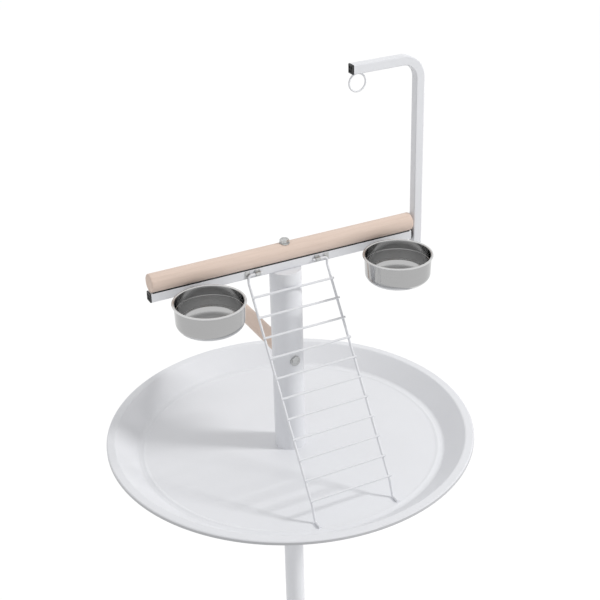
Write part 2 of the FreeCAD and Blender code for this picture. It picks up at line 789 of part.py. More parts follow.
def make_column():
    """The wide tube that slips over the pole, its bushes and its lid."""
    top = "(%s + column_length)" % TRAY_FLOOR
    column = turned("Column", ring_outline(COLUMN_BORE, "column_radius", TRAY_FLOOR, top))
    holes = new_sketch(column, "XZ_Plane")
    draw_circle(holes, BOLT_HOLE, "0", LOW_BOLT)
    cut_through(column, holes)
    keep(column, "column")
    spigot = "(%s - slip_fit)" % COLUMN_BORE
    cap = turned("ColumnCap", [
        ("bolt_radius", "(%s - cap_spigot)" % top),
        (spigot, "(%s - cap_spigot)" % top),
        (spigot, top),
        ("column_radius", top),
        ("column_radius", BAR_BOTTOM),
        ("bolt_radius", BAR_BOTTOM),
    ])
    round_edges(cap, "cap_edge", lambda edge: is_circle(edge, "column_radius", BAR_BOTTOM))
    keep(cap, "column_cap")
    inner = "(pole_radius + slip_fit)"
    outer = "(%s - slip_fit)" % COLUMN_BORE
    bushes = (
        ("column_bush_bottom", TRAY_FLOOR),
        ("column_bush_top", "(%s - bush_length)" % POLE_TOP),
    )
    for label, foot in bushes:
        bush = turned(label, ring_outline(inner, outer, foot, "(%s + bush_length)" % foot))
        keep(bush, label)


# --- Crossbar and perches -----------------------------------------------------------------------


def make_crossbar():
    bar = square_tube("Crossbar", "bar_half", "tube_side", "tube_wall", TUBE_ROUND)
    bolt_hole = new_sketch(bar, "XY_Plane")
    draw_circle(bolt_hole, BOLT_HOLE)
    cut_through(bar, bolt_hole)
    hanger_holes = new_sketch(bar, "XY_Plane")
    for x in hanger_screw_places():
        draw_circle(hanger_holes, SCREW_HOLE, x)
    cut_through(bar, hanger_holes, side=BEHIND)
    bracket_holes = new_sketch(bar, "XZ_Plane")
    for x in bar_screw_places():
        draw_circle(bracket_holes, SCREW_HOLE, x)
    cut_through(bar, bracket_holes, side=BEHIND)
    keep(place(bar, z=BAR_MIDDLE), "crossbar")
    plugs = []
    reach = "(bar_half + plug_flange)"
    for name, x, turn in (("BarPlugLeft", "-" + reach, ALONG_X), ("BarPlugRight", reach, ALONG_MINUS_X)):
        plugs.append(end_plug(name, "tube_side", "tube_wall", TUBE_ROUND, x, "0", BAR_MIDDLE, turn))
    group("bar_end_plugs", plugs)


def make_perches():
    """The round main perch lies on the bar; the lower one stands out behind the column."""
    perch = new_body("MainPerch")
    section = new_sketch(perch, "YZ_Plane")
    draw_circle(section, "perch_radius")
    pad(perch, section, "2 * " + PERCH_HALF, symmetric=True)
    round_edges(perch, "perch_edge", lambda edge: is_circle(edge, "perch_radius"))
    bolt_hole = new_sketch(perch, "XY_Plane")
    draw_circle(bolt_hole, BOLT_HOLE)
    cut_through(perch, bolt_hole)
    seat = new_sketch(perch, "XY_Plane", "perch_radius")
    draw_circle(seat, "(washer_radius + slip_fit)")
    seat_cut = perch.newObject("PartDesign::Pocket", "PerchSeat")
    seat_cut.Profile = seat
    bind(seat_cut, "Length", "perch_seat")
    keep(place(perch, z=PERCH_AXIS), "main_perch")
    washer = cut(
        "PerchWasher",
        rod("PerchWasherDisc", "washer_radius", "washer_sheet", z=PERCH_SEAT),
        rod("PerchWasherBore", BOLT_HOLE, "washer_sheet", z=PERCH_SEAT),
    )
    keep(washer, "perch_washer")
    head_seat = "(%s + washer_sheet)" % PERCH_SEAT
    length = "(washer_sheet - perch_seat + 2 * perch_radius + tube_side + cap_spigot)"
    keep(hex_bolt("PerchBolt", length, "0", "0", head_seat, None), "perch_bolt")
    make_low_perch()


def make_low_perch():
    whole = rod("LowPerchRod", "low_perch_radius", "low_perch_end", z=LOW_BOLT, turn=ALONG_Y)
    seat = rod("LowPerchSaddle", "(column_radius + weld_fit)", "4 * low_perch_radius",
               z="(%s - 2 * low_perch_radius)" % LOW_BOLT)
    coped = cut("LowPerchCoped", whole, seat)
    bore = rod("LowPerchBore", "bolt_radius", "(column_radius + low_bolt_bite)", z=LOW_BOLT, turn=ALONG_Y)
    drilled = cut("LowPerchDrilled", coped, bore)
    doc.recompute()
    rounded = doc.addObject("Part::Fillet", "LowPerch")
    rounded.Base = drilled
    edge_radius = number("low_perch_edge")
    rounded.Edges = [
        (index + 1, edge_radius, edge_radius)
        for index, edge in enumerate(drilled.Shape.Edges)
        if is_circle(edge, "low_perch_radius", "low_perch_end", "y")
    ]
    keep(rounded, "lower_perch")
    saddle_face = "(column_radius + saddle_sheet)"
    saddle_disc = rod("SaddleDisc", "washer_radius", "(saddle_sheet + saddle_skirt)",
                      y="-%s" % saddle_face, z=LOW_BOLT, turn=ALONG_Y)
    saddle_tools = fuse("SaddleTools", [
        rod("SaddleColumn", "(column_radius + weld_fit)", "4 * washer_radius",
            z="(%s - 2 * washer_radius)" % LOW_BOLT),
        rod("SaddleBore", BOLT_HOLE, saddle_face, y="-%s" % saddle_face, z=LOW_BOLT, turn=ALONG_Y),
    ])
    keep(cut("SaddleWasher", saddle_disc, saddle_tools), "lower_perch_saddle")
    length = "(2 * column_radius + saddle_sheet + low_bolt_bite - hex_height)"
    bolt = hex_bolt("LowPerchBolt", length, "0", "-%s" % saddle_face, LOW_BOLT, ALONG_MINUS_Y)
    keep(bolt, "lower_perch_bolt")


# --- Toy hook -----------------------------------------------------------------------------------


def bar_screw_places():
    return [
        "(bar_half - plug_depth - bracket_margin)",
        "(bar_half - plug_depth - bracket_margin - bracket_screw_pitch)",
    ]


def post_screw_places():
    return [
        "(hook_drop + tube_side / 2)",
        "(hook_drop + bracket_rise - bracket_margin)",
    ]


def make_hook():
    """A square tube bent into a gallows: post, tight elbow and arm in one piece."""
    body = new_body("HookPost")
    section = new_sketch(body, "XY_Plane")
    draw_rounded_square(section, "tube_side / 2", TUBE_ROUND)
    draw_rounded_square(section, "(tube_side / 2 - tube_wall)", "tube_inner_round")
    straight = "(%s - %s - hook_bend)" % (ARM_HEIGHT, POST_BOTTOM)
    arm_end = "(plug_flange - hook_reach)"
    spine = new_sketch(body, "XZ_Plane")
    foot = Vector(0, 0, 0)
    bend_start = Vector(0, number(straight), 0)
    bend_end = bend_start + Vector(-number("hook_bend"), number("hook_bend"), 0)
    bend_centre = bend_start + Vector(-number("hook_bend"), 0, 0)
    bend_middle = bend_centre + Vector(number("hook_bend") * DIAGONAL, number("hook_bend") * DIAGONAL, 0)
    tip = Vector(number(arm_end), bend_end.y, 0)
    spine.addGeometry(Part.LineSegment(foot, bend_start), False)
    spine.addGeometry(Part.Arc(bend_start, bend_middle, bend_end), False)
    spine.addGeometry(Part.LineSegment(bend_end, tip), False)
    spine.addConstraint(Sketcher.Constraint("Coincident", 0, 1, -1, 1))
    spine.addConstraint(Sketcher.Constraint("Vertical", 0))
    spine.addConstraint(Sketcher.Constraint("Horizontal", 2))
    spine.addConstraint(Sketcher.Constraint("Tangent", 0, 2, 1, 1))
    spine.addConstraint(Sketcher.Constraint("Tangent", 1, 2, 2, 1))
    radius = spine.addConstraint(Sketcher.Constraint("Radius", 1, number("hook_bend")))
    bind(spine, "Constraints[%d]" % radius, "hook_bend")
    tie_point(spine, 2, 2, arm_end, "(%s + hook_bend)" % straight)
    pipe = body.newObject("PartDesign::AdditivePipe", "HookPipe")
    pipe.Profile = section
    pipe.Spine = (spine, ["Edge1", "Edge2", "Edge3"])
    holes = new_sketch(body, "XZ_Plane")
    for height in post_screw_places():
        draw_circle(holes, SCREW_HOLE, "0", height)
    cut_through(body, holes, side=BEHIND)
    keep(place(body, POST_X, "0", POST_BOTTOM), "hook_post")
    arm_plug_x = "(%s - hook_reach)" % POST_X
    group("hook_end_plugs", [
        end_plug("ArmPlug", "tube_side", "tube_wall", TUBE_ROUND, arm_plug_x, "0", ARM_HEIGHT, ALONG_X),
        end_plug("PostPlug", "tube_side", "tube_wall", TUBE_ROUND,
                 POST_X, "0", "(%s - plug_flange)" % POST_BOTTOM, Rotation()),
    ])
    make_toy_ring()
    make_bracket()


def make_toy_ring():
    """A wire ring welded to the underside of the arm, its top flattened where it meets the tube."""
    wire = doc.addObject("Part::Torus", "RingWire")
    bind(wire, "Radius1", "ring_radius")
    bind(wire, "Radius2", "ring_wire")
    place(wire, RING_X, "0", RING_Z, ALONG_Y)
    arm_side = block("RingTrim", "4 * ring_radius", "tube_side", "tube_side",
                     "(%s - 2 * ring_radius)" % RING_X, "-tube_side / 2",
                     "(%s - tube_side / 2)" % ARM_HEIGHT)
    keep(cut("ToyRing", wire, arm_side), "toy_ring")


def make_bracket():
    """An angle plate behind the bar: one leg is screwed to the bar, the other to the post."""
    body = new_body("HookBracket")
    outer_x = "(%s + tube_side / 2)" % POST_X
    inner_x = "(%s - tube_side / 2)" % POST_X
    bar_end_x = "(%s - %s)" % (inner_x, BRACKET_FOOT)
    plate = new_sketch(body, "XZ_Plane")
    draw_outline(plate, [
        (bar_end_x, BAR_BOTTOM),
        (outer_x, BAR_BOTTOM),
        (outer_x, "(%s + bracket_rise)" % BAR_BOTTOM),
        (inner_x, "(%s + bracket_rise)" % BAR_BOTTOM),
        (inner_x, BAR_TOP),
        (bar_end_x, BAR_TOP),
    ])
    for x in bar_screw_places():
        draw_circle(plate, SCREW_HOLE, x, BAR_MIDDLE)
    for height in post_screw_places():
        draw_circle(plate, SCREW_HOLE, POST_X, "(%s + %s)" % (POST_BOTTOM, height))
    pad(body, plate, "bracket_sheet")
    round_edges(body, "bracket_round", is_bracket_corner)
    keep(place(body, y="(tube_side / 2 + bracket_sheet)"), "hook_bracket")
    screws = []
    face = "(tube_side / 2 + bracket_sheet)"
    for index, x in enumerate(bar_screw_places()):
        screws.append(pan_screw("BarScrew%d" % index, x, face, BAR_MIDDLE, ALONG_Y))
    for index, height in enumerate(post_screw_places()):
        z = "(%s + %s)" % (POST_BOTTOM, height)
        screws.append(pan_screw("PostScrew%d" % index, POST_X, face, z, ALONG_Y))
    group("hook_screws", screws)


def is_bracket_corner(edge):
    """True for the outer corners of the angle plate, not for its inner corner."""
    box = edge.BoundBox
    if box.XLength > 0.001 or box.ZLength > 0.001:
        return False
    at_inner_corner = abs(box.ZMax - number(BAR_TOP)) < 0.001 and box.XMax > number("bar_half")
    return not at_inner_corner


# --- Bowls --------------------------------------------------------------------------------------


def hanger_screw_places():
    return [
        "(%d * %s + %d * %s)" % (side, BOWL_SPREAD, way, HANGER_SCREW)
        for side in (LEFT, RIGHT)
        for way in (LEFT, RIGHT)
    ]


def make_bowl(name, side):
    """A pressed steel cup: tapered wall, rounded foot, flat rim with a rolled edge."""
    sheet_middle = "(-bowl_roll)"
    foot_radius = "(bowl_radius - bowl_taper)"
    roll_middle = "(%s - bowl_roll)" % BOWL_RIM_RADIUS
    body = turned(name, [
        ("0", "-bowl_depth"),
        (foot_radius, "-bowl_depth"),
        ("bowl_radius", "(%s - bowl_sheet / 2)" % sheet_middle),
        (roll_middle, "(%s - bowl_sheet / 2)" % sheet_middle),
        (roll_middle, "(%s + bowl_sheet / 2)" % sheet_middle),
        ("(bowl_radius - bowl_sheet)", "(%s + bowl_sheet / 2)" % sheet_middle),
        ("(%s - bowl_sheet)" % foot_radius, "(bowl_sheet - bowl_depth)"),
        ("0", "(bowl_sheet - bowl_depth)"),
    ])
    round_edges(body, "bowl_corner", lambda edge: is_circle(edge, foot_radius, "-bowl_depth"))
    inner_foot = "(%s - bowl_sheet)" % foot_radius
    inner_floor = "(bowl_sheet - bowl_depth)"
    round_edges(body, "(bowl_corner - bowl_sheet)", lambda edge: is_circle(edge, inner_foot, inner_floor))
    roll = new_sketch(body, "XZ_Plane")
    draw_circle(roll, "bowl_roll", roll_middle, sheet_middle)
    feature = body.newObject("PartDesign::Revolution", name + "Roll")
    feature.Profile = roll
    feature.ReferenceAxis = (roll, ["V_Axis"])
    feature.Angle = 360
    return place(body, "%d * %s" % (side, BOWL_SPREAD), BOWL_Y, BOWL_RIM)


def make_clip(name, side):
    """The folded pocket welded on the bowl's back: it drops over the hanger's tongue."""
    x = "(%d * %s - %s / 2)" % (side, BOWL_SPREAD, CLIP_WIDTH)
    depth = "(clip_saddle + tongue_sheet + 2 * clip_play + clip_sheet)"
    shell = block(name + "Shell", CLIP_WIDTH, depth, "(%s - %s)" % (CLIP_TOP, CLIP_BOTTOM),
                  x, "(%s - clip_saddle)" % TONGUE_FRONT, CLIP_BOTTOM)
    pocket = block(name + "Pocket", "(tongue_width + 2 * clip_play)", "(tongue_sheet + 2 * clip_play)",
                   "(%s + clip_play - %s)" % (TONGUE_TOP, CLIP_BOTTOM),
                   "(%d * %s - tongue_width / 2 - clip_play)" % (side, BOWL_SPREAD),
                   TONGUE_FRONT, CLIP_BOTTOM)
    wall = rod(name + "Wall", "(bowl_radius + weld_fit)", "bowl_depth",
               "%d * %s" % (side, BOWL_SPREAD), BOWL_Y, "(%s - bowl_depth)" % BOWL_RIM)
    return cut(name, cut(name + "Open", shell, pocket), wall)


def make_hanger(name, side):
    """A bent strip under the bar whose tongue turns up in front of it."""
    body = new_body(name)
    front = "(%s + clip_play)" % TONGUE_FRONT
    under = "(%s - tongue_sheet - weld_fit)" % BAR_BOTTOM
    over = "(%s - weld_fit)" % BAR_BOTTOM
    profile = new_sketch(body, "YZ_Plane")
    draw_outline(profile, [
        (front, under),
        ("(tube_side / 2 - %s)" % TUBE_ROUND, under),
        ("(tube_side / 2 - %s)" % TUBE_ROUND, over),
        ("(%s + tongue_sheet)" % front, over),
        ("(%s + tongue_sheet)" % front, TONGUE_TOP),
        (front, TONGUE_TOP),
    ])
    pad(body, profile, "tongue_width", symmetric=True)
    holes = new_sketch(body, "XY_Plane")
    for way in (LEFT, RIGHT):
        draw_circle(holes, SCREW_HOLE, "%d * %s" % (way, HANGER_SCREW))
    cut_through(body, holes)
    return place(body, "%d * %s" % (side, BOWL_SPREAD))


def make_bowls():
    for word, side in (("left", LEFT), ("right", RIGHT)):
        keep(make_bowl("Bowl" + word, side), "bowl_" + word)
        keep(make_clip("Clip" + word, side), "bowl_clip_" + word)
        keep(make_hanger("Hanger" + word, side), "bowl_hanger_" + word)
    head_seat = "(%s - tongue_sheet - 2 * weld_fit)" % BAR_BOTTOM
    screws = [
        pan_screw("HangerScrew%d" % index, x, "0", head_seat, UPSIDE_DOWN)
        for index, x in enumerate(hanger_screw_places())
    ]
    group("hanger_screws", screws)


# --- Ladder -------------------------------------------------------------------------------------


def bent_wire(points, bend, radius):
    """A round wire along straight runs joined by tangent bends of one radius."""
    edges = []
    start = points[0]
    for before, corner, after in zip(points, points[1:], points[2:]):
        inward = (before - corner).normalize()
        outward = (after - corner).normalize()
        half_turn = inward.getAngle(outward) / 2
        setback = bend / math.tan(half_turn)
        first = corner + inward * setback
        last = corner + outward * setback
        centre = corner + (inward + outward).normalize() * (bend / math.sin(half_turn))
        middle = centre + (corner - centre).normalize() * bend
        edges.append(Part.LineSegment(start, first).toShape())
        edges.append(Part.Arc(first, middle, last).toShape())
        start = last
    edges.append(Part.LineSegment(start, points[-1]).toShape())
    path = Part.Wire(edges)
    direction = (points[1] - points[0]).normalize()
    section = Part.Wire(Part.makeCircle(radius, points[0], direction))
    return path.makePipeShell([section], True, True)


def rail_points(side):
    """The rail's corners: hinge pin, neck, slope, knee and toe, at one side of the ladder."""
    x = side * number("ladder_half")
    hinge_y = number(HINGE_Y)
    hinge_z = number(BAR_MIDDLE)
    toe_y = -number(LADDER_FOOT)
    neck = Vector(x, hinge_y, number(NECK_Z))
    aim = Vector(x, -number(LADDER_AIM), number(TOE_Z))
    knee = aim + (neck - aim).normalize() * number("ladder_knee")
    return [
        Vector(side * number(PIN_END), hinge_y, hinge_z),
        Vector(x, hinge_y, hinge_z),
        neck,
        knee,
        Vector(x, toe_y, number(TOE_Z)),
        Vector(x, toe_y - number("ladder_toe"), number(TOE_Z)),
    ]


def make_ladder():
    """Two bent rails whose tops are the hinge pins, and eleven straight rungs across them."""
    for word, side in (("left", LEFT), ("right", RIGHT)):
        rail = doc.addObject("Part::Feature", "Rail" + word)
        rail.Shape = bent_wire(rail_points(side), number("rail_bend"), number("rail_wire"))
        keep(rail, "ladder_rail_" + word)
    rise = "(%s - %s)" % (NECK_Z, TOE_Z)
    run = "(%s + %s)" % (LADDER_AIM, HINGE_Y)
    slope = "hypot(%s; %s)" % (rise, run)
    lift = "(rail_wire + rung_wire + weld_fit)"
    top_rung_y = "(-column_radius - rung_column_gap - rung_wire)"
    reach = "(%s + %s)" % (top_rung_y, LADDER_AIM)
    rung_last = "((%s * %s + %s * %s) / %s)" % (reach, slope, lift, rise, run)
    for index in range(RUNG_COUNT):
        step = RUNG_COUNT - 1 - index
        along = "(rung_first + %d / %d * (%s - rung_first))" % (step, RUNG_COUNT - 1, rung_last)
        y = "(-%s + %s * %s / %s - %s * %s / %s)" % (LADDER_AIM, along, run, slope, lift, rise, slope)
        z = "(%s + %s * %s / %s + %s * %s / %s)" % (TOE_Z, along, rise, slope, lift, run, slope)
        half = "(ladder_half + rung_overhang)"
        rung = rod("Rung%d" % index, "rung_wire", "2 * %s" % half, "-%s" % half, y, z, ALONG_X)
        keep(rung, "ladder_rung_%02d" % (index + 1))
    make_knuckles()


def make_knuckles():
    """Sleeves on small plates, in which the rails' pins turn, and a stop plate behind each rail."""
    pieces = []
    for name, side in (("KnuckleLeft", LEFT), ("KnuckleRight", RIGHT)):
        x = "(%d * %s - knuckle_length / 2)" % (side, KNUCKLE_SPREAD)
        plate = hinge_plate(name + "Plate", "knuckle_plate", x)
        sleeve = rod(name + "Sleeve", "knuckle_radius", "knuckle_length", x, HINGE_Y, BAR_MIDDLE, ALONG_X)
        foot = block(name + "Foot", "knuckle_length", "knuckle_radius", "2 * knuckle_radius",
                     x, HINGE_Y, "(%s - knuckle_radius)" % BAR_MIDDLE)
        bore = rod(name + "Bore", "(rail_wire + hinge_fit)", "knuckle_length",
                   x, HINGE_Y, BAR_MIDDLE, ALONG_X)
        pieces.append(cut(name, fuse(name + "Whole", [sleeve, foot, plate]), bore))
        stop_x = "(%d * ladder_half - knuckle_length / 2)" % side
        pieces.append(hinge_plate(name + "Stop", "stop_plate", stop_x))
    group("ladder_knuckles", pieces)


def hinge_plate(name, sheet, x):
    """A small upright plate on the front face of the bar."""
    return block(name, "knuckle_length", sheet, "2 * hinge_plate_half",
                 x, "(-tube_side / 2 - %s)" % sheet, "(%s - hinge_plate_half)" % BAR_MIDDLE)


make_base()
make_socket()
make_casters()
make_pole()
make_tray()
make_column()
make_crossbar()
make_perches()
make_hook()
make_bowls()
make_ladder()

doc.recompute()
for item in doc.Objects:
    if "Invalid" in item.State or "Error" in item.State:
        raise RuntimeError("failed feature: %s %s" % (item.Label, item.State))
for item in nodes:
    if item.Shape.isNull() or not item.Shape.isValid() or not item.Shape.Solids:
        raise RuntimeError("bad solid: " + item.Label)

os.makedirs("parts", exist_ok=True)
for item in nodes:
    item.Shape.exportStep(os.path.join("parts", item.Label + ".step"))
print("%d nodes, %d solids" % (len(nodes), sum(len(item.Shape.Solids) for item in nodes)))
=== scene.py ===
import math

import bpy
from mathutils import Matrix, Vector


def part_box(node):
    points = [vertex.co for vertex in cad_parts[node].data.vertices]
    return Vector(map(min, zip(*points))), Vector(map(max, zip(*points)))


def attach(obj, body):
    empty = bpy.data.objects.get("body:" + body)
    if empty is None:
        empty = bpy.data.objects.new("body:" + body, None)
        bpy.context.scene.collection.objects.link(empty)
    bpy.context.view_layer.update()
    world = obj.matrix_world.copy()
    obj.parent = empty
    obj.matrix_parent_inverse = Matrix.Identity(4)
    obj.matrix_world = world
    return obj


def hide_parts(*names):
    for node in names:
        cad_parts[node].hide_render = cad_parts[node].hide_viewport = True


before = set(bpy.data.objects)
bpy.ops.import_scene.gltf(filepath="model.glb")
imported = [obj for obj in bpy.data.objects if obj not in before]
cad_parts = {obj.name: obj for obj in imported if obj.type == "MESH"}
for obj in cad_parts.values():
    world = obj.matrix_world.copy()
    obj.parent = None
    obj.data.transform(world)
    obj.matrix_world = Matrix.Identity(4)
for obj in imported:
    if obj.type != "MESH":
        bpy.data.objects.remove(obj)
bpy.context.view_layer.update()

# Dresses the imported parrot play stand: finishes for its coated tubes, dowels and steel, and the
# small pieces that its solids leave plain, such as bolts, plugs, wheels and weld beads.

bl_info = {
    "name": "Parrot Play Stand",
    "version": (1, 0, 0),
    "blender": (4, 5, 0),
    "location": "View3D > Sidebar > Play Stand",
    "description": "Finishes and small pieces for a parrot play stand",
    "category": "Object",
}

MM = 0.001
CASTER_SIDES = ("left", "right", "front", "back")
BOWL_SIDES = ("left", "right")
RUNG_COUNT = 11


# --- Sizes and colours that a user would change -------------------------------------------------


def length_property(name, description, default):
    return bpy.props.FloatProperty(name=name, description=description, default=default,
                                   min=0.0, subtype="DISTANCE", unit="LENGTH")


def angle_property(name, description, degrees):
    return bpy.props.FloatProperty(name=name, description=description, default=math.radians(degrees),
                                   subtype="ANGLE", unit="ROTATION")


def colour_property(name, description, default):
    return bpy.props.FloatVectorProperty(name=name, description=description, default=default,
                                         size=3, min=0.0, max=1.0, subtype="COLOR")


class PlayStandColours(bpy.types.PropertyGroup):
    coat: colour_property("Coat", "White powder coat of tubes, tray and ladder", (0.80, 0.81, 0.84))
    dowel: colour_property("Dowel", "Pale wood of the two perches", (0.80, 0.652, 0.566))
    dowel_grain: colour_property("Dowel grain", "Darker late wood of the perches", (0.67, 0.52, 0.43))
    cup: colour_property("Cup", "Polished steel of the bowls", (0.415, 0.415, 0.415))
    zinc: colour_property("Zinc", "Plated steel of bolts, forks and hangers", (0.565, 0.57, 0.565))
    plug: colour_property("Plug", "Black plastic of the tube plugs", (0.012, 0.012, 0.013))
    bush: colour_property("Bush", "White plastic of the bushes", (0.78, 0.78, 0.76))
    tyre: colour_property("Tyre", "Dark rubber of the wheels", (0.030, 0.030, 0.032))
    hub: colour_property("Hub", "Grey plastic of the wheel centres", (0.30, 0.31, 0.32))


class PlayStandSizes(bpy.types.PropertyGroup):
    bead: length_property("Weld bead", "Radius of the weld beads on tubes", 1.5 * MM)
    tack: length_property("Tack weld", "Radius of the welds between rungs and rails", 1.3 * MM)
    thread_pitch: length_property("Thread pitch", "Rise of a bolt's thread in one turn", 1.25 * MM)
    plug_round: length_property("Plug rounding", "Rounding of a plug's outer edge", 0.6 * MM)
    plug_recess: length_property("Plug recess", "Depth of the hollow in a plug's face", 0.9 * MM)


class PlayStandStage(bpy.types.PropertyGroup):
    azimuth: angle_property("Azimuth", "Turn of the camera about the pole", 26.614)
    elevation: angle_property("Elevation", "Height angle of the camera", 27.585)
    roll: angle_property("Roll", "Lean of the camera", -1.485)
    lens: bpy.props.FloatProperty(name="Lens", description="Focal length in millimetres",
                                  default=77.11, min=1.0)
    position: bpy.props.FloatVectorProperty(name="Position", description="Place of the camera",
                                            default=(-0.7893, -1.6240, 1.9424), size=3,
                                            subtype="TRANSLATION", unit="LENGTH")
    key_power: bpy.props.FloatProperty(name="Key light", description="Power of the main lamp in watts",
                                       default=184.0, min=0.0)
    key_azimuth: angle_property("Key azimuth", "Turn of the main lamp from +X to -Y", 32.3)
    key_elevation: angle_property("Key elevation", "Height angle of the main lamp", 38.5)
    key_width: length_property("Key width", "Diameter of the main lamp", 1.0)
    fill: bpy.props.FloatProperty(name="Fill", description="Strength of the soft light from all round",
                                  default=0.65, min=0.0)


def colours():
    return bpy.context.scene.play_stand_colours


def sizes():
    return bpy.context.scene.play_stand_sizes


def stage_settings():
    return bpy.context.scene.play_stand_stage


# --- Shader helpers ------------------------------------------------------------------------------


def new_material(name):
    """A fresh node material and its Principled shader."""
    material = bpy.data.materials.new(name)
    material.use_nodes = True
    return material, material.node_tree, material.node_tree.nodes["Principled BSDF"]


def add_node(tree, kind, inputs=None, **settings):
    """A node with its settings, and its inputs linked or set."""
    node = tree.nodes.new(kind)
    for name, value in settings.items():
        setattr(node, name, value)
    for name, value in (inputs or {}).items():
        if hasattr(value, "is_linked"):
            tree.links.new(value, node.inputs[name])
        else:
            node.inputs[name].default_value = value
    return node


def object_place(tree, scale=(1, 1, 1), turn=(0, 0, 0), shift=(0, 0, 0)):
    """The place on the object, stretched, turned and shifted for a pattern."""
    coordinates = add_node(tree, "ShaderNodeTexCoord")
    mapping = add_node(tree, "ShaderNodeMapping", {
        "Vector": coordinates.outputs["Object"],
        "Location": shift,
        "Rotation": turn,
        "Scale": scale,
    })
    return mapping.outputs["Vector"]


def noise(tree, place, scale, detail=2.0, roughness=0.5):
    node = add_node(tree, "ShaderNodeTexNoise", {
        "Vector": place,
        "Scale": scale,
        "Detail": detail,
        "Roughness": roughness,
    })
    return node.outputs["Fac"]


def ramp(tree, factor, stops):
    """A colour ramp with the given positions and colours."""
    node = add_node(tree, "ShaderNodeValToRGB", {"Fac": factor})
    elements = node.color_ramp.elements
    while len(elements) < len(stops):
        elements.new(0.5)
    for element, (position, colour) in zip(elements, stops):
        element.position = position
        element.color = (*colour, 1.0)
    return node.outputs["Color"]


def grey(value):
    return (value, value, value)


def shade(colour, share):
    return tuple(min(1.0, channel * share) for channel in colour)


def map_range(tree, value, low, high, from_low=0.3, from_high=0.7):
    node = add_node(tree, "ShaderNodeMapRange", {
        "Value": value,
        "From Min": from_low,
        "From Max": from_high,
        "To Min": low,
        "To Max": high,
    })
    return node.outputs["Result"]


def mask(tree, value, none, full):
    """0 where the value reaches the first bound, 1 where it reaches the second."""
    if none < full:
        return map_range(tree, value, 0.0, 1.0, none, full)
    return map_range(tree, value, 1.0, 0.0, full, none)


def combine(tree, operation, first, second):
    """What one arithmetic step makes of two values."""
    return add_node(tree, "ShaderNodeMath", {0: first, 1: second}, operation=operation).outputs[0]


def lay_over(tree, factor, first, second, blend="MIX"):
    """The first colour with the second laid over it by the factor."""
    node = add_node(tree, "ShaderNodeMix", {
        "Factor": factor,
        "A": first,
        "B": second,
    }, data_type="RGBA", blend_type=blend)
    return node.outputs["Result"]


def bump(tree, shader, height, strength, distance):
    node = add_node(tree, "ShaderNodeBump", {
        "Height": height,
        "Strength": strength,
        "Distance": distance,
    })
    tree.links.new(node.outputs["Normal"], shader.inputs["Normal"])


# --- Materials -----------------------------------------------------------------------------------

# Each pair says where a mask begins and where it is full.
SHADED_HEM_INSETS = (0.9 * MM, 0.4 * MM)
SHADED_HEM_DROPS = (1.2 * MM, 2.2 * MM)
CUP_RIM_HIGHLIGHT_DROPS = (3.0 * MM, 2.2 * MM)
CUP_FLOOR_RISES = (4.0 * MM, 2.0 * MM)
CUP_EDGE_HIGHLIGHT_SLOPES = (-0.35, -0.55)
UPWARD_SLOPES = (-0.1, 0.0)
# The share of the coat's colour left on the tray's hem, as painted shade.
PAINTED_HEM_SHADE = 0.68
# How much lighter the cups' rims and lower edges are painted, as a painted highlight.
CUP_PAINTED_HIGHLIGHT = 1.55
# How much lighter the cups' inner walls below the ridge are painted, as painted light.
CUP_LINING_PAINTED_LIGHT = 1.22
CUP_FLOOR_DULLNESS = 0.34
CUP_WALL_INSET = 4.1 * MM
CUP_WALL_BLEND = 0.2 * MM
RIDGE_DROP = 16 * MM
RIDGE_BLEND = 1.0 * MM
ALONG_X = (0.0, 0.0, 0.0)
ALONG_Y = (0.0, 0.0, math.radians(90))


def powder_coat(name, colour):
    """Baked white powder: a fine orange-peel skin, faintly uneven in tone and gloss."""
    material, tree, shader = new_material(name)
    place = object_place(tree)
    cloud = noise(tree, place, scale=9.0, detail=3.0)
    tone = ramp(tree, cloud, [(0.3, shade(colour, 0.972)), (0.7, colour)])
    tree.links.new(tone, shader.inputs["Base Color"])
    sheen = noise(tree, place, scale=240.0, detail=4.0)
    tree.links.new(map_range(tree, sheen, 0.34, 0.46), shader.inputs["Roughness"])
    shader.inputs["Specular IOR Level"].default_value = 0.42
    peel = noise(tree, place, scale=1300.0)
    bump(tree, shader, peel, strength=0.10, distance=0.12 * MM)
    return material


def hem_shaded_tray_coat(name, colour, rim_radius, rim_top):
    """The powder coat of the tray, with painted shade darkening its turned-down hem."""
    material = powder_coat(name, colour)
    tree = material.node_tree
    shader = tree.nodes["Principled BSDF"]
    tone = shader.inputs["Base Color"].links[0].from_socket
    place = add_node(tree, "ShaderNodeSeparateXYZ", {"Vector": object_place(tree)})
    flat = add_node(tree, "ShaderNodeCombineXYZ", {"X": place.outputs["X"], "Y": place.outputs["Y"]})
    reach = add_node(tree, "ShaderNodeVectorMath", {0: flat.outputs["Vector"]}, operation="LENGTH")
    outside = mask(tree, reach.outputs["Value"], *(rim_radius - inset for inset in SHADED_HEM_INSETS))
    below = mask(tree, place.outputs["Z"], *(rim_top - drop for drop in SHADED_HEM_DROPS))
    painted_hem_shade = combine(tree, "MULTIPLY", outside, below)
    # Painted shade: the hem under the tray's outer edge is darkened in the colour itself.
    tone = lay_over(tree, painted_hem_shade, tone, (*shade(colour, PAINTED_HEM_SHADE), 1.0))
    tree.links.new(tone, shader.inputs["Base Color"])
    return material


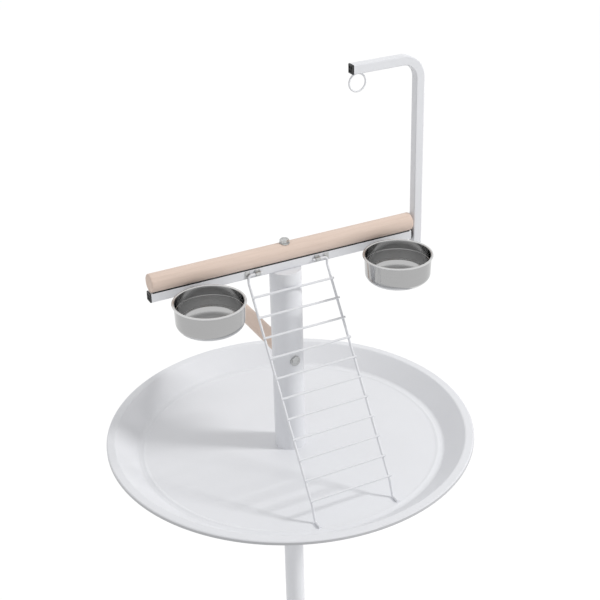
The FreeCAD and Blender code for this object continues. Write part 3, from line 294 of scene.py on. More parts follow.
def dowel_wood(name, colour, grain, turn, pith):
    """Sanded dowel: growth rings about a pith outside the rod, long fibres and short flecks."""
    material, tree, shader = new_material(name)
    rings = add_node(tree, "ShaderNodeTexWave", {
        "Vector": object_place(tree, scale=(0.16, 1, 1), turn=turn, shift=pith),
        "Scale": 34.0,
        "Distortion": 5.0,
        "Detail": 3.0,
        "Detail Scale": 1.4,
        "Detail Roughness": 0.55,
    }, wave_type="RINGS", rings_direction="X", wave_profile="SIN")
    late_wood = tuple(0.84 * early + 0.16 * late for early, late in zip(colour, grain))
    ring_tone = ramp(tree, rings.outputs["Fac"], [
        (0.0, shade(colour, 1.01)),
        (0.6, colour),
        (1.0, late_wood),
    ])
    fibre_place = object_place(tree, scale=(0.03, 1, 1), turn=turn)
    fibres = noise(tree, fibre_place, scale=900.0, detail=3.0, roughness=0.6)
    fibre_tone = ramp(tree, fibres, [(0.35, grey(0.95)), (0.65, grey(1.0))])
    cloud_place = object_place(tree, scale=(0.3, 1, 1), turn=turn)
    cloud = noise(tree, cloud_place, scale=26.0, detail=3.0)
    cloud_tone = ramp(tree, cloud, [(0.3, (0.965, 0.955, 0.945)), (0.72, grey(1.0))])
    fleck_place = object_place(tree, scale=(0.11, 1, 1), turn=turn)
    flecks = noise(tree, fleck_place, scale=1500.0, detail=1.0)
    fleck_share = map_range(tree, flecks, 0.0, 0.35, from_low=0.64, from_high=0.74)
    tone = lay_over(tree, 1.0, ring_tone, fibre_tone, blend="MULTIPLY")
    tone = lay_over(tree, 1.0, tone, cloud_tone, blend="MULTIPLY")
    tone = lay_over(tree, fleck_share, tone, (*shade(grain, 0.92), 1.0))
    tree.links.new(tone, shader.inputs["Base Color"])
    tree.links.new(map_range(tree, fibres, 0.62, 0.50), shader.inputs["Roughness"])
    shader.inputs["Specular IOR Level"].default_value = 0.3
    bump(tree, shader, fibres, strength=0.22, distance=0.15 * MM)
    return material


def cup_inside(tree, place, slope, low, high):
    """1 on the inner skin of either cup below its ridge, worked out from the distance to its axis."""
    middle = (Vector(low) + Vector(high)) / 2
    across = add_node(tree, "ShaderNodeMath", {0: place.outputs["X"]}, operation="ABSOLUTE")
    spoke = add_node(tree, "ShaderNodeCombineXYZ", {"X": across.outputs[0], "Y": place.outputs["Y"]})
    reach = add_node(tree, "ShaderNodeVectorMath", {
        0: spoke.outputs["Vector"],
        1: (abs(middle.x), middle.y, 0),
    }, operation="DISTANCE")
    wall = (high[0] - low[0]) / 2 - CUP_WALL_INSET
    ridge = high[2] - RIDGE_DROP
    inner = mask(tree, reach.outputs["Value"], wall, wall - CUP_WALL_BLEND)
    upward = mask(tree, slope, *UPWARD_SLOPES)
    lower = mask(tree, place.outputs["Z"], ridge, ridge - RIDGE_BLEND)
    return combine(tree, "MULTIPLY", combine(tree, "MULTIPLY", inner, upward), lower)


def cup_steel(name, colour, low, high):
    """Polished cup: mirror walls, a painted highlight on the rim and lower edge, a painted lighter inner
    wall below the ridge, and a brushed floor.
    """
    material, tree, shader = new_material(name)
    place = object_place(tree)
    split = add_node(tree, "ShaderNodeSeparateXYZ", {"Vector": place})
    height = split.outputs["Z"]
    facing = add_node(tree, "ShaderNodeTexCoord").outputs["Normal"]
    slope = add_node(tree, "ShaderNodeSeparateXYZ", {"Vector": facing}).outputs["Z"]
    # Painted highlight: the rim and the lower edge get a lighter steel colour where the lamp would glint.
    rim = mask(tree, height, *(high[2] - drop for drop in CUP_RIM_HIGHLIGHT_DROPS))
    edge = mask(tree, slope, *CUP_EDGE_HIGHLIGHT_SLOPES)
    floor = mask(tree, height, *(low[2] + rise for rise in CUP_FLOOR_RISES))
    painted_lining_light = cup_inside(tree, split, slope, low, high)
    lines = noise(tree, object_place(tree, scale=(0.01, 0.01, 1)), scale=2600.0, detail=3.0)
    tone = ramp(tree, lines, [(0.3, shade(colour, 0.97)), (0.7, shade(colour, 1.02))])
    painted_highlight = combine(tree, "MAXIMUM", rim, edge)
    tone = lay_over(tree, painted_highlight, tone, (*shade(colour, CUP_PAINTED_HIGHLIGHT), 1.0))
    # Painted light: the inner wall below the ridge gets a lighter colour for the reflections it would
    # catch.
    tone = lay_over(tree, painted_lining_light, tone, (*shade(colour, CUP_LINING_PAINTED_LIGHT), 1.0))
    tree.links.new(tone, shader.inputs["Base Color"])
    shader.inputs["Metallic"].default_value = 1.0
    smudge = noise(tree, place, scale=55.0, detail=4.0)
    gloss = map_range(tree, smudge, 0.08, 0.13)
    dull = combine(tree, "MULTIPLY", floor, CUP_FLOOR_DULLNESS)
    tree.links.new(combine(tree, "ADD", gloss, dull), shader.inputs["Roughness"])
    bump(tree, shader, lines, strength=0.03, distance=0.03 * MM)
    return material


def zinc_plate(name, colour):
    """Plated steel: small dull patches and a fine grain."""
    material, tree, shader = new_material(name)
    place = object_place(tree)
    patches = add_node(tree, "ShaderNodeTexVoronoi", {"Vector": place, "Scale": 420.0})
    stops = [(0.1, shade(colour, 0.86)), (0.8, shade(colour, 1.08))]
    tree.links.new(ramp(tree, patches.outputs["Distance"], stops), shader.inputs["Base Color"])
    shader.inputs["Metallic"].default_value = 1.0
    cloud = noise(tree, place, scale=300.0, detail=3.0)
    tree.links.new(map_range(tree, cloud, 0.28, 0.44), shader.inputs["Roughness"])
    bump(tree, shader, noise(tree, place, scale=1800.0), strength=0.12, distance=0.08 * MM)
    return material


def moulded_plastic(name, colour, roughness):
    """Moulded plastic with a fine spark-eroded skin."""
    material, tree, shader = new_material(name)
    place = object_place(tree)
    cloud = noise(tree, place, scale=120.0, detail=3.0)
    tone = ramp(tree, cloud, [(0.3, shade(colour, 0.85)), (0.7, shade(colour, 1.1))])
    tree.links.new(tone, shader.inputs["Base Color"])
    tree.links.new(map_range(tree, cloud, roughness * 0.9, roughness * 1.15), shader.inputs["Roughness"])
    bump(tree, shader, noise(tree, place, scale=2200.0), strength=0.25, distance=0.08 * MM)
    return material


def tread_rubber(name, colour):
    """Wheel rubber: matt, dusty in patches, with a grained skin."""
    material, tree, shader = new_material(name)
    place = object_place(tree)
    dust = noise(tree, place, scale=90.0, detail=4.0)
    tone = ramp(tree, dust, [(0.4, colour), (0.75, tuple(channel + 0.03 for channel in colour))])
    tree.links.new(tone, shader.inputs["Base Color"])
    tree.links.new(map_range(tree, dust, 0.62, 0.8), shader.inputs["Roughness"])
    bump(tree, shader, noise(tree, place, scale=1600.0), strength=0.35, distance=0.1 * MM)
    return material


def make_materials():
    tint = colours()
    wood = (tint.dowel, tint.dowel_grain)
    tray_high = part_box("tray")[1]
    return {
        "coat": powder_coat("White powder coat", tint.coat),
        "tray coat with painted hem shade": hem_shaded_tray_coat("White tray coat with painted hem shade", tint.coat, tray_high[0], tray_high[2]),
        "main dowel": dowel_wood("Main dowel", *wood, turn=ALONG_X, pith=(0, 0.045, -1.05)),
        "low dowel": dowel_wood("Low dowel", *wood, turn=ALONG_Y, pith=(0, 0.04, -0.87)),
        "cup": cup_steel("Polished cup steel", tint.cup, *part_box("bowl_right")),
        "zinc": zinc_plate("Zinc plate", tint.zinc),
        "plug": moulded_plastic("Black plug plastic", tint.plug, roughness=0.42),
        "bush": moulded_plastic("White bush plastic", tint.bush, roughness=0.5),
        "tyre": tread_rubber("Wheel rubber", tint.tyre),
        "hub": moulded_plastic("Grey hub plastic", tint.hub, roughness=0.4),
    }


made = {}


def material(name):
    """The material of that finish, made with all the others at the first call."""
    if not made:
        made.update(make_materials())
    return made[name]


# Which finish each family of CAD nodes takes; the first fitting start of a name holds
NODE_FINISHES = (
    ("main_perch", "main dowel"),
    ("lower_perch_bolt", "zinc"),
    ("lower_perch_saddle", "zinc"),
    ("lower_perch", "low dowel"),
    ("bar_end_plugs", "plug"),
    ("hook_end_plugs", "plug"),
    ("base_end_plugs", "plug"),
    ("column_bush", "bush"),
    ("bowl_hanger", "zinc"),
    ("bowl_", "cup"),
    ("caster_wheel", "tyre"),
    ("caster_", "zinc"),
    ("hanger_screws", "zinc"),
    # The hinge sleeves and their stop plates are grey zinc, its tone partly painted shade for the dark
    # patches they throw on the bar.
    ("ladder_knuckles", "zinc"),
    ("hook_screws", "zinc"),
    ("socket_bolts", "zinc"),
    ("pole_bolt", "zinc"),
    ("perch_", "zinc"),
    ("tray_flange", "coat"),
    ("tray", "tray coat with painted hem shade"),
    ("", "coat"),
)


def finish_of(node_name):
    return next(finish for start, finish in NODE_FINISHES if node_name.startswith(start))


class PLAYSTAND_OT_finishes(bpy.types.Operator):
    """Give every carried-over solid its finish"""

    bl_idname = "play_stand.finishes"
    bl_label = "Finishes"

    def execute(self, context):
        for name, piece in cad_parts.items():
            if not piece.material_slots:
                raise RuntimeError("no material slot on " + name)
            for place in piece.material_slots:
                place.material = material(finish_of(name))
        return {"FINISHED"}


# --- Modelling helpers ---------------------------------------------------------------------------


def leave_edit():
    bpy.ops.object.mode_set(mode="OBJECT")


def deselect():
    if bpy.context.object is not None and bpy.context.object.mode != "OBJECT":
        leave_edit()
    bpy.ops.object.select_all(action="DESELECT")


def activate(piece):
    deselect()
    piece.select_set(True)
    bpy.context.view_layer.objects.active = piece


def edit_all(piece):
    """Go into edit mode with the whole piece selected."""
    activate(piece)
    bpy.ops.object.mode_set(mode="EDIT")
    bpy.ops.mesh.select_all(action="SELECT")


def add_cylinder(radius, depth, z=0.0, vertices=48):
    """A cylinder about Z whose middle is at this height."""
    deselect()
    bpy.ops.mesh.primitive_cylinder_add(vertices=vertices, radius=radius, depth=depth, location=(0, 0, z))
    return bpy.context.object


def add_box(size, place=(0, 0, 0), turn=0.0):
    """A box with its middle at the place, turned about Z."""
    deselect()
    bpy.ops.mesh.primitive_cube_add(size=1, location=place, rotation=(0, 0, turn), scale=size)
    bpy.ops.object.transform_apply(location=True, rotation=True, scale=True)
    return bpy.context.object


def pick_faces(piece, chosen):
    """Select, in edit mode, the faces whose centre and normal pass the test."""
    activate(piece)
    bpy.ops.object.mode_set(mode="EDIT")
    bpy.ops.mesh.select_mode(type="FACE")
    bpy.ops.mesh.select_all(action="DESELECT")
    leave_edit()
    for face in piece.data.polygons:
        face.select = chosen(face.center, face.normal)
    bpy.ops.object.mode_set(mode="EDIT")


def pick_edges(piece, chosen):
    """Select, in edit mode, the edges whose two ends pass the test."""
    activate(piece)
    bpy.ops.object.mode_set(mode="EDIT")
    bpy.ops.mesh.select_mode(type="EDGE")
    bpy.ops.mesh.select_all(action="DESELECT")
    leave_edit()
    points = piece.data.vertices
    for edge in piece.data.edges:
        ends = [points[index].co for index in edge.vertices]
        edge.select = chosen(*ends)
    bpy.ops.object.mode_set(mode="EDIT")


def round_edges(piece, chosen, offset, segments, profile=0.5):
    """Bevel the edges whose two ends pass the test."""
    pick_edges(piece, chosen)
    bpy.ops.mesh.bevel(offset=offset, segments=segments, profile=profile)
    leave_edit()


def shift_inner_face(piece, chosen, border, rise):
    """Leave a border on the chosen faces, and move what lies inside it along Z."""
    pick_faces(piece, chosen)
    bpy.ops.mesh.inset(thickness=border)
    bpy.ops.mesh.extrude_region_move(TRANSFORM_OT_translate={"value": (0, 0, rise)})
    leave_edit()


def apply_modifier(piece, kind, **settings):
    activate(piece)
    bpy.ops.object.modifier_add(type=kind)
    modifier = piece.modifiers[-1]
    for name, value in settings.items():
        setattr(modifier, name, value)
    bpy.ops.object.modifier_apply(modifier=modifier.name)


def join(pieces):
    """Make one mesh of several pieces, and give back the first."""
    activate(pieces[0])
    for piece in pieces:
        piece.select_set(True)
    if len(pieces) > 1:
        bpy.ops.object.join()
    return pieces[0]


def copy_to(pattern, place, direction=(0, 0, 1)):
    """A copy of the pattern whose mesh is turned and moved about the pattern's own origin."""
    copy = pattern.copy()
    copy.data = pattern.data.copy()
    bpy.context.collection.objects.link(copy)
    turn = Vector((0, 0, 1)).rotation_difference(Vector(direction)).to_matrix().to_4x4()
    copy.data.transform(Matrix.Translation(Vector(place)) @ turn)
    return copy


def discard(piece):
    bpy.data.objects.remove(piece)


def settle(piece, name, body, finish, replaced=()):
    """Name a finished piece, put its place into its mesh, and tie it to its body and finish."""
    activate(piece)
    bpy.ops.object.transform_apply(location=True, rotation=True, scale=True)
    edit_all(piece)
    bpy.ops.mesh.normals_make_consistent(inside=False)
    leave_edit()
    bpy.ops.object.shade_smooth_by_angle(angle=math.radians(35))
    piece.name = name
    piece.data.name = name
    piece.data.materials.clear()
    piece.data.materials.append(material(finish))
    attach(piece, body)
    if replaced:
        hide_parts(*replaced)


def middle_of(node):
    low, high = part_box(node)
    return (Vector(low) + Vector(high)) / 2


# --- Bolts ---------------------------------------------------------------------------------------

HEX_RADIUS = 7.5 * MM
HEX_HEIGHT = 5.3 * MM
HEAD_CHAMFER = 0.22 * HEX_HEIGHT
HEAD_BORDER = 0.28 * HEX_RADIUS
HEAD_DISH = 0.35 * MM
NUT_HEIGHT = 6 * MM
NUT_CHAMFER = 0.2 * NUT_HEIGHT
NUT_BORDER = 0.22 * HEX_RADIUS
NUT_DISH = 0.4 * MM
BOLT_END = 1.5 * MM
BOLT_RADIUS = 4 * MM
SHANK_BEVEL = 0.8 * MM
THREAD_LENGTH = 14 * MM
THREAD_DEPTH = 0.5 * MM


def hex_head():
    """A hexagon head standing on z = 0, with chamfered top corners and a shallow dish in its top."""
    upper = 0.4 * HEX_HEIGHT
    head = add_cylinder(HEX_RADIUS, HEX_HEIGHT, HEX_HEIGHT / 2, vertices=6)
    limit = add_cylinder(HEX_RADIUS * 1.01, HEX_HEIGHT * 1.02, HEX_HEIGHT / 2, vertices=72)
    round_edges(limit, lambda a, b: min(a.z, b.z) > upper, HEAD_CHAMFER, segments=4, profile=0.6)
    apply_modifier(head, "BOOLEAN", operation="INTERSECT", object=limit, solver="EXACT")
    discard(limit)
    shift_inner_face(head, lambda centre, normal: normal.z > 0.99 and centre.z > upper,
                     HEAD_BORDER, -HEAD_DISH)
    return head


def hex_nut():
    """A hexagon nut about Z whose middle is at z = 0, chamfered and dished at both ends."""
    nut = add_cylinder(HEX_RADIUS, NUT_HEIGHT, vertices=6)
    limit = add_cylinder(HEX_RADIUS * 1.01, NUT_HEIGHT * 1.01, vertices=72)
    round_edges(limit, lambda a, b: abs(a.z - b.z) < 0.1 * NUT_HEIGHT, NUT_CHAMFER,
                segments=4, profile=0.6)
    apply_modifier(nut, "BOOLEAN", operation="INTERSECT", object=limit, solver="EXACT")
    discard(limit)
    for side in (1, -1):
        shift_inner_face(nut, lambda centre, normal: normal.z * side > 0.99,
                         NUT_BORDER, -side * NUT_DISH)
    return nut


def shank(length):
    """The plain part of a bolt below its head, bevelled where the thread begins."""
    rod = add_cylinder(BOLT_RADIUS, length, -length / 2)
    round_edges(rod, lambda a, b: max(a.z, b.z) < -0.4 * length, SHANK_BEVEL, segments=2)
    return rod


def threaded_end(length, start):
    """The last stretch of a bolt, with the ridges of its thread."""
    turns = max(2, int(length / sizes().thread_pitch))
    step = length / (2 * turns)
    rod = add_cylinder(BOLT_RADIUS, length, -start - length / 2, vertices=40)
    edit_all(rod)
    for index in range(1, 2 * turns):
        bpy.ops.mesh.select_all(action="SELECT")
        bpy.ops.mesh.bisect(plane_co=(0, 0, index * step - start - length), plane_no=(0, 0, 1))
    leave_edit()
    narrow = (BOLT_RADIUS - THREAD_DEPTH) / BOLT_RADIUS
    for point in rod.data.vertices:
        if round((point.co.z + length / 2) / step) % 2 == 1:
            point.co.x *= narrow
            point.co.y *= narrow
    return rod


class PLAYSTAND_OT_bolts(bpy.types.Operator):
    """Model the hexagon bolts of the perches, the pole and the base"""

    bl_idname = "play_stand.bolts"
    bl_label = "Hexagon bolts"

    def execute(self, context):
        head = hex_head()
        low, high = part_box("perch_bolt")
        seat = high[2] - HEX_HEIGHT
        self.bolt(head, "perch_bolt", (0, 0, seat), (0, 0, 1), seat - low[2])
        self.cross_bolt(head, "lower_perch_bolt")
        middle = middle_of("pole_bolt")
        nut_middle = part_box("pole_bolt")[1][1] - BOLT_END - NUT_HEIGHT / 2
        nut = hex_nut()
        held = copy_to(nut, (middle.x, nut_middle, middle.z), (0, -1, 0))
        discard(nut)
        self.cross_bolt(head, "pole_bolt", [held])
        self.socket_bolts(head)
        discard(head)
        return {"FINISHED"}

    def whole(self, head, length):
        """One bolt with its head standing on z = 0."""
        thread = min(THREAD_LENGTH, length / 2)
        plain = length - thread
        return join([copy_to(head, (0, 0, 0)), shank(plain), threaded_end(thread, plain)])

    def bolt(self, head, node, place, direction, length, more=()):
        whole = self.whole(head, length)
        piece = copy_to(whole, place, direction)
        discard(whole)
        settle(join([piece, *more]), node + "_turned", "stand", "zinc", [node])

    def cross_bolt(self, head, node, more=()):
        """A bolt along Y, with its head in front."""
        low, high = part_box(node)
        middle = middle_of(node)
        seat = low[1] + HEX_HEIGHT
        self.bolt(head, node, (middle.x, seat, middle.z), (0, -1, 0), high[1] - seat, more)

    def socket_bolts(self, head):
        """The four bolts of the pole's socket."""
        low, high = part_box("socket_bolts")
        spread = high[0] - HEX_RADIUS
        seat = high[2] - HEX_HEIGHT
        whole = self.whole(head, seat - low[2])
        spots = ((spread, 0), (-spread, 0), (0, spread), (0, -spread))
        parts = [copy_to(whole, (x, y, seat)) for x, y in spots]
        discard(whole)
        settle(join(parts), "socket_bolt_set", "stand", "zinc", ["socket_bolts"])


# --- Tube plugs ----------------------------------------------------------------------------------

SMALL_TUBE = 15 * MM
SMALL_BORE = 12.4 * MM
LARGE_TUBE = 25 * MM
LARGE_BORE = 21.8 * MM
PLUG_FLANGE = 2 * MM
PLUG_CORNER_SHARE = 0.11
PLUG_BORDER_SHARE = 0.13
PLUG_RIB_SHARE = 0.6
PLUG_RIB_WIDTH = 1.0 * MM
PLUG_RIB_DROP = 0.1 * MM
PLUG_RIB_ROUND = 0.2 * MM
STEM_DEPTH = 12 * MM
STEM_SLACK = 0.2 * MM
STEM_ROUND = 0.6 * MM


def plug_face(side):
    """The flange of a tube plug on z = 0 and up: rounded edge, sunk middle and a cross rib."""
    recess = sizes().plug_recess
    near_top = 0.9 * PLUG_FLANGE
    piece = add_box((side, side, PLUG_FLANGE), (0, 0, PLUG_FLANGE / 2))
    round_edges(piece, lambda a, b: abs(a.z - b.z) > PLUG_FLANGE / 2,
                side * PLUG_CORNER_SHARE, segments=5)
    round_edges(piece, lambda a, b: min(a.z, b.z) > near_top, sizes().plug_round, segments=3)
    shift_inner_face(piece, lambda centre, normal: normal.z > 0.99 and centre.z > near_top,
                     side * PLUG_BORDER_SHARE, -recess)
    parts = [piece]
    for turn in (0, 90):
        rib = add_box((side * PLUG_RIB_SHARE, PLUG_RIB_WIDTH, recess),
                      (0, 0, PLUG_FLANGE - recess / 2 - PLUG_RIB_DROP), math.radians(turn))
        apply_modifier(rib, "BEVEL", width=PLUG_RIB_ROUND, segments=2)
        parts.append(rib)
    return join(parts)


def plug_stem(bore):
    """The part of a plug inside the tube: a square core with rounded edges, below z = 0."""
    side = bore - STEM_SLACK
    core = add_box((side, side, STEM_DEPTH), (0, 0, -STEM_DEPTH / 2))
    apply_modifier(core, "BEVEL", width=STEM_ROUND, segments=2)
    return core


class PLAYSTAND_OT_plugs(bpy.types.Operator):
    """Model the black plugs in the ends of the square tubes"""

    bl_idname = "play_stand.plugs"
    bl_label = "Tube plugs"

    def execute(self, context):
        small = join([plug_face(SMALL_TUBE), plug_stem(SMALL_BORE)])
        large = join([plug_face(LARGE_TUBE), plug_stem(LARGE_BORE)])
        low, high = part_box("bar_end_plugs")
        height = (low[2] + high[2]) / 2
        self.plugs("bar_plug_pair", small, "bar_end_plugs", (
            ((low[0] + PLUG_FLANGE, 0, height), (-1, 0, 0)),
            ((high[0] - PLUG_FLANGE, 0, height), (1, 0, 0)),
        ))
        low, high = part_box("base_end_plugs")
        height = (low[2] + high[2]) / 2
        self.plugs("base_plug_set", large, "base_end_plugs", (
            ((low[0] + PLUG_FLANGE, 0, height), (-1, 0, 0)),
            ((high[0] - PLUG_FLANGE, 0, height), (1, 0, 0)),
            ((0, low[1] + PLUG_FLANGE, height), (0, -1, 0)),
            ((0, high[1] - PLUG_FLANGE, height), (0, 1, 0)),
        ))
        low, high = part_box("hook_end_plugs")
        self.plugs("hook_plug_pair", small, "hook_end_plugs", (
            ((low[0] + PLUG_FLANGE, 0, high[2] - SMALL_TUBE / 2), (-1, 0, 0)),
            ((high[0] - SMALL_TUBE / 2, 0, low[2] + PLUG_FLANGE), (0, 0, -1)),
        ))
        discard(small)
        discard(large)
        return {"FINISHED"}

    def plugs(self, name, pattern, node, places):
        pieces = [copy_to(pattern, place, direction) for place, direction in places]
        settle(join(pieces), name, "stand", "plug", [node])


# --- Painted shade strips and bowl ridges --------------------------------------------------------

STRIP_END_INSET = 3 * MM
STRIP_INNER = 4.5 * MM
STRIP_OUTER_INSET = 0.3 * MM
STRIP_BAR_GAP = 0.03 * MM
STRIP_PERCH_GAP = 0.05 * MM
BAR_FLAT_HALF = 5.7 * MM
BAR_CORNER_FALL = 0.42
RIDGE_INSET = 4.2 * MM
RIDGE_RADIUS = 0.6 * MM


class PLAYSTAND_OT_painted_shade_strips(bpy.types.Operator):
    """Model the black strips along the gap between the main perch and the bar, a painted shade for that
    gap
    """

    bl_idname = "play_stand.seat_strips"
    bl_label = "Perch painted shade strips"

    def execute(self, context):
        bar_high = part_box("crossbar")[1]
        perch_low, perch_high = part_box("main_perch")
        radius = (perch_high[2] - perch_low[2]) / 2
        axis = (perch_high[2] + perch_low[2]) / 2
        length = 2 * (perch_high[0] - STRIP_END_INSET)
        seat = bar_high[2] + STRIP_BAR_GAP
        width = bar_high[1] - STRIP_OUTER_INSET - STRIP_INNER
        strips = []
        for side in (-1, 1):
            strip = add_box((1, 1, 1))
            edit_all(strip)
            bpy.ops.mesh.subdivide(number_cuts=5)
            leave_edit()
            for point in strip.data.vertices:
                across = STRIP_INNER + (point.co.y + 0.5) * width
                under = seat - max(0.0, across - BAR_FLAT_HALF) * BAR_CORNER_FALL
                over = axis - math.sqrt(radius ** 2 - across ** 2) - STRIP_PERCH_GAP
                height = under + (point.co.z + 0.5) * (over - under)
                point.co = Vector((point.co.x * length, side * across, height))
            strips.append(strip)
        # Painted shade: the strips take the black plastic finish to darken the gap under the perch.
        settle(join(strips), "perch_painted_shade_strips", "stand", "plug")
        return {"FINISHED"}


class PLAYSTAND_OT_cup_steps(bpy.types.Operator):
    """Model the pressed ridge that runs round the inner wall of each bowl"""

    bl_idname = "play_stand.cup_steps"
    bl_label = "Bowl ridges"

    def execute(self, context):
        for side in BOWL_SIDES:
            low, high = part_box("bowl_" + side)
            middle = middle_of("bowl_" + side)
            radius = (high[0] - low[0]) / 2 - RIDGE_INSET
            deselect()
            bpy.ops.mesh.primitive_torus_add(major_radius=radius, minor_radius=RIDGE_RADIUS,
                                             location=(middle.x, middle.y, high[2] - RIDGE_DROP),
                                             major_segments=96, minor_segments=10)
            piece = bpy.context.object
            settle(piece, "cup_ridge_" + side, "bowl_" + side, "cup")
        return {"FINISHED"}


# --- Screws --------------------------------------------------------------------------------------

PAN_RADIUS = 4 * MM
PAN_HEIGHT = 2.4 * MM
PAN_ROUND = 1.5 * MM
CROSS_BLADE = (4.2 * MM, 0.9 * MM, 2.6 * MM)
SCREW_RADIUS = 1.95 * MM
SCREW_LENGTH = 9 * MM
SAME_POINT = 0.01 * MM


def pan_screw():
    """A round-headed screw whose head stands on z = 0, with a cross recess and a plain shank."""
    head = add_cylinder(PAN_RADIUS, PAN_HEIGHT, PAN_HEIGHT / 2)
    round_edges(head, lambda a, b: min(a.z, b.z) > 0.4 * PAN_HEIGHT, PAN_ROUND, segments=6)
    for turn in (0, 90):
        deselect()
        bpy.ops.mesh.primitive_cube_add(size=1, location=(0, 0, PAN_HEIGHT),
                                        rotation=(0, 0, math.radians(turn)), scale=CROSS_BLADE)
        blade = bpy.context.object
        apply_modifier(head, "BOOLEAN", operation="DIFFERENCE", object=blade, solver="EXACT")
        discard(blade)
    rod = add_cylinder(SCREW_RADIUS, SCREW_LENGTH, -SCREW_LENGTH / 2, vertices=32)
    return join([head, rod])


class PLAYSTAND_OT_screws(bpy.types.Operator):
    """Model the cross-head screws of the hook's bracket and the bowl hangers"""

    bl_idname = "play_stand.screws"
    bl_label = "Cross-head screws"

    def execute(self, context):
        screw = pan_screw()
        self.screws("hook_screw_set", screw, "hook_screws", (0, 1, 0))
        self.screws("hanger_screw_set", screw, "hanger_screws", (0, 0, -1))
        discard(screw)
        return {"FINISHED"}

    def screw_boxes(self, node):
        """The low and high corners of each separate screw in a node."""
        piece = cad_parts[node]
        copy = piece.copy()
        copy.data = piece.data.copy()
        copy.parent = None
        bpy.context.collection.objects.link(copy)
        edit_all(copy)
        bpy.ops.mesh.remove_doubles(threshold=SAME_POINT)
        bpy.ops.mesh.separate(type="LOOSE")
        leave_edit()
        boxes = []
        for part in list(bpy.context.selected_objects):
            points = [vertex.co.copy() for vertex in part.data.vertices]
            low = Vector([min(point[axis] for point in points) for axis in range(3)])
            high = Vector([max(point[axis] for point in points) for axis in range(3)])
            boxes.append((low, high))
            discard(part)
        return boxes

    def screws(self, name, pattern, node, direction):
        pieces = []
        for low, high in self.screw_boxes(node):
            middle = (low + high) / 2
            if direction[1] > 0:
                seat = (middle.x, high.y - PAN_HEIGHT, middle.z)
            else:
                seat = (middle.x, middle.y, low.z + PAN_HEIGHT)
            pieces.append(copy_to(pattern, seat, direction))
        settle(join(pieces), name, "stand", "zinc", [node])


# --- Caster wheels -------------------------------------------------------------------------------

TYRE_DEPTH = 6 * MM
TYRE_SHOULDER = 3 * MM
HUB_GRIP = 0.05 * MM
HUB_RECESS = 1.0 * MM
HUB_RIM = 1.6 * MM
HUB_WEB = 4 * MM
BOSS_RADIUS = 7 * MM
BOSS_ROUND = 0.5 * MM
SPOKE_COUNT = 8
SPOKE_WIDTH = 1.4 * MM
SPOKE_RECESS = 3 * MM
SPOKE_INSET = 1.0 * MM


def wheel_tyre(radius, width):
    """The rubber ring of a wheel about Z, with rounded shoulders."""
    tyre = add_cylinder(radius, width, vertices=72)
    pick_faces(tyre, lambda centre, normal: abs(normal.z) > 0.9)
    bpy.ops.mesh.inset(thickness=TYRE_DEPTH)
    bpy.ops.mesh.bridge_edge_loops()
    leave_edit()
    tread = 0.99 * radius
    round_edges(tyre, lambda a, b: abs(a.z - b.z) < 1e-6 and min(a.xy.length, b.xy.length) > tread,
                TYRE_SHOULDER, segments=6)
    return tyre


def wheel_hub(radius, width):
    """The plastic centre of a wheel about Z: a thin web with a rim, a boss and radial ribs."""
    disc = add_cylinder(radius, width, vertices=72)
    pick_faces(disc, lambda centre, normal: abs(normal.z) > 0.9)
    bpy.ops.mesh.inset(thickness=HUB_RIM)
    leave_edit()
    sink = (width - HUB_WEB) / 2
    for side in (1, -1):
        pick_faces(disc, lambda centre, normal: normal.z * side > 0.9 and centre.xy.length < BOSS_RADIUS)
        bpy.ops.mesh.extrude_region_move(TRANSFORM_OT_translate={"value": (0, 0, -side * sink)})
        leave_edit()
    boss = add_cylinder(BOSS_RADIUS, width)
    apply_modifier(boss, "BEVEL", width=BOSS_ROUND, segments=2, limit_method="ANGLE")
    parts = [disc, boss]
    reach = (radius - SPOKE_INSET + BOSS_RADIUS) / 2
    for index in range(SPOKE_COUNT):
        angle = 2 * math.pi * index / SPOKE_COUNT
        parts.append(add_box((radius - BOSS_RADIUS, SPOKE_WIDTH, width - SPOKE_RECESS),
                             (reach * math.cos(angle), reach * math.sin(angle), 0), angle))
    return join(parts)


class PLAYSTAND_OT_wheels(bpy.types.Operator):
    """Model the tyres and the ribbed centres of the caster wheels"""

    bl_idname = "play_stand.wheels"
    bl_label = "Caster wheels"

    def execute(self, context):
        low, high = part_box("caster_wheel_left")
        radius = (high[2] - low[2]) / 2
        width = high[0] - low[0]
        tyre = wheel_tyre(radius, width)
        hub = wheel_hub(radius - TYRE_DEPTH + HUB_GRIP, width - HUB_RECESS)
        for side in CASTER_SIDES:
            node = "caster_wheel_" + side
            place = middle_of(node)
            rubber = copy_to(tyre, place, (1, 0, 0))
            settle(rubber, "caster_tyre_" + side, "wheel_" + side, "tyre", [node])
            centre = copy_to(hub, place, (1, 0, 0))
            settle(centre, "caster_hub_" + side, "wheel_" + side, "hub", [node])
        discard(tyre)
        discard(hub)
        return {"FINISHED"}


# --- Welds ---------------------------------------------------------------------------------------

SCALLOP = 0.10
BEAD_STANDOFF = 0.6
SLEEVE_WALL = 3.2 * MM
SOCKET_PLATE = 3 * MM
RING_WELD_RADIUS = 1.2 * MM
RING_WELD_SIDE = 1.3 * MM
RING_WELD_DROP = 0.5 * MM
PLATE_WIDTH = 8 * MM
PLATE_WELD_RADIUS = 0.9 * MM
PLATE_WELD_PROUD = 0.3 * MM
KNUCKLE_INSET = 16.5 * MM
RAIL_RADIUS = 2 * MM
LADDER_UNDERSIDE = Vector((0, 0.83, -0.56))
TACK_SINK = 0.95


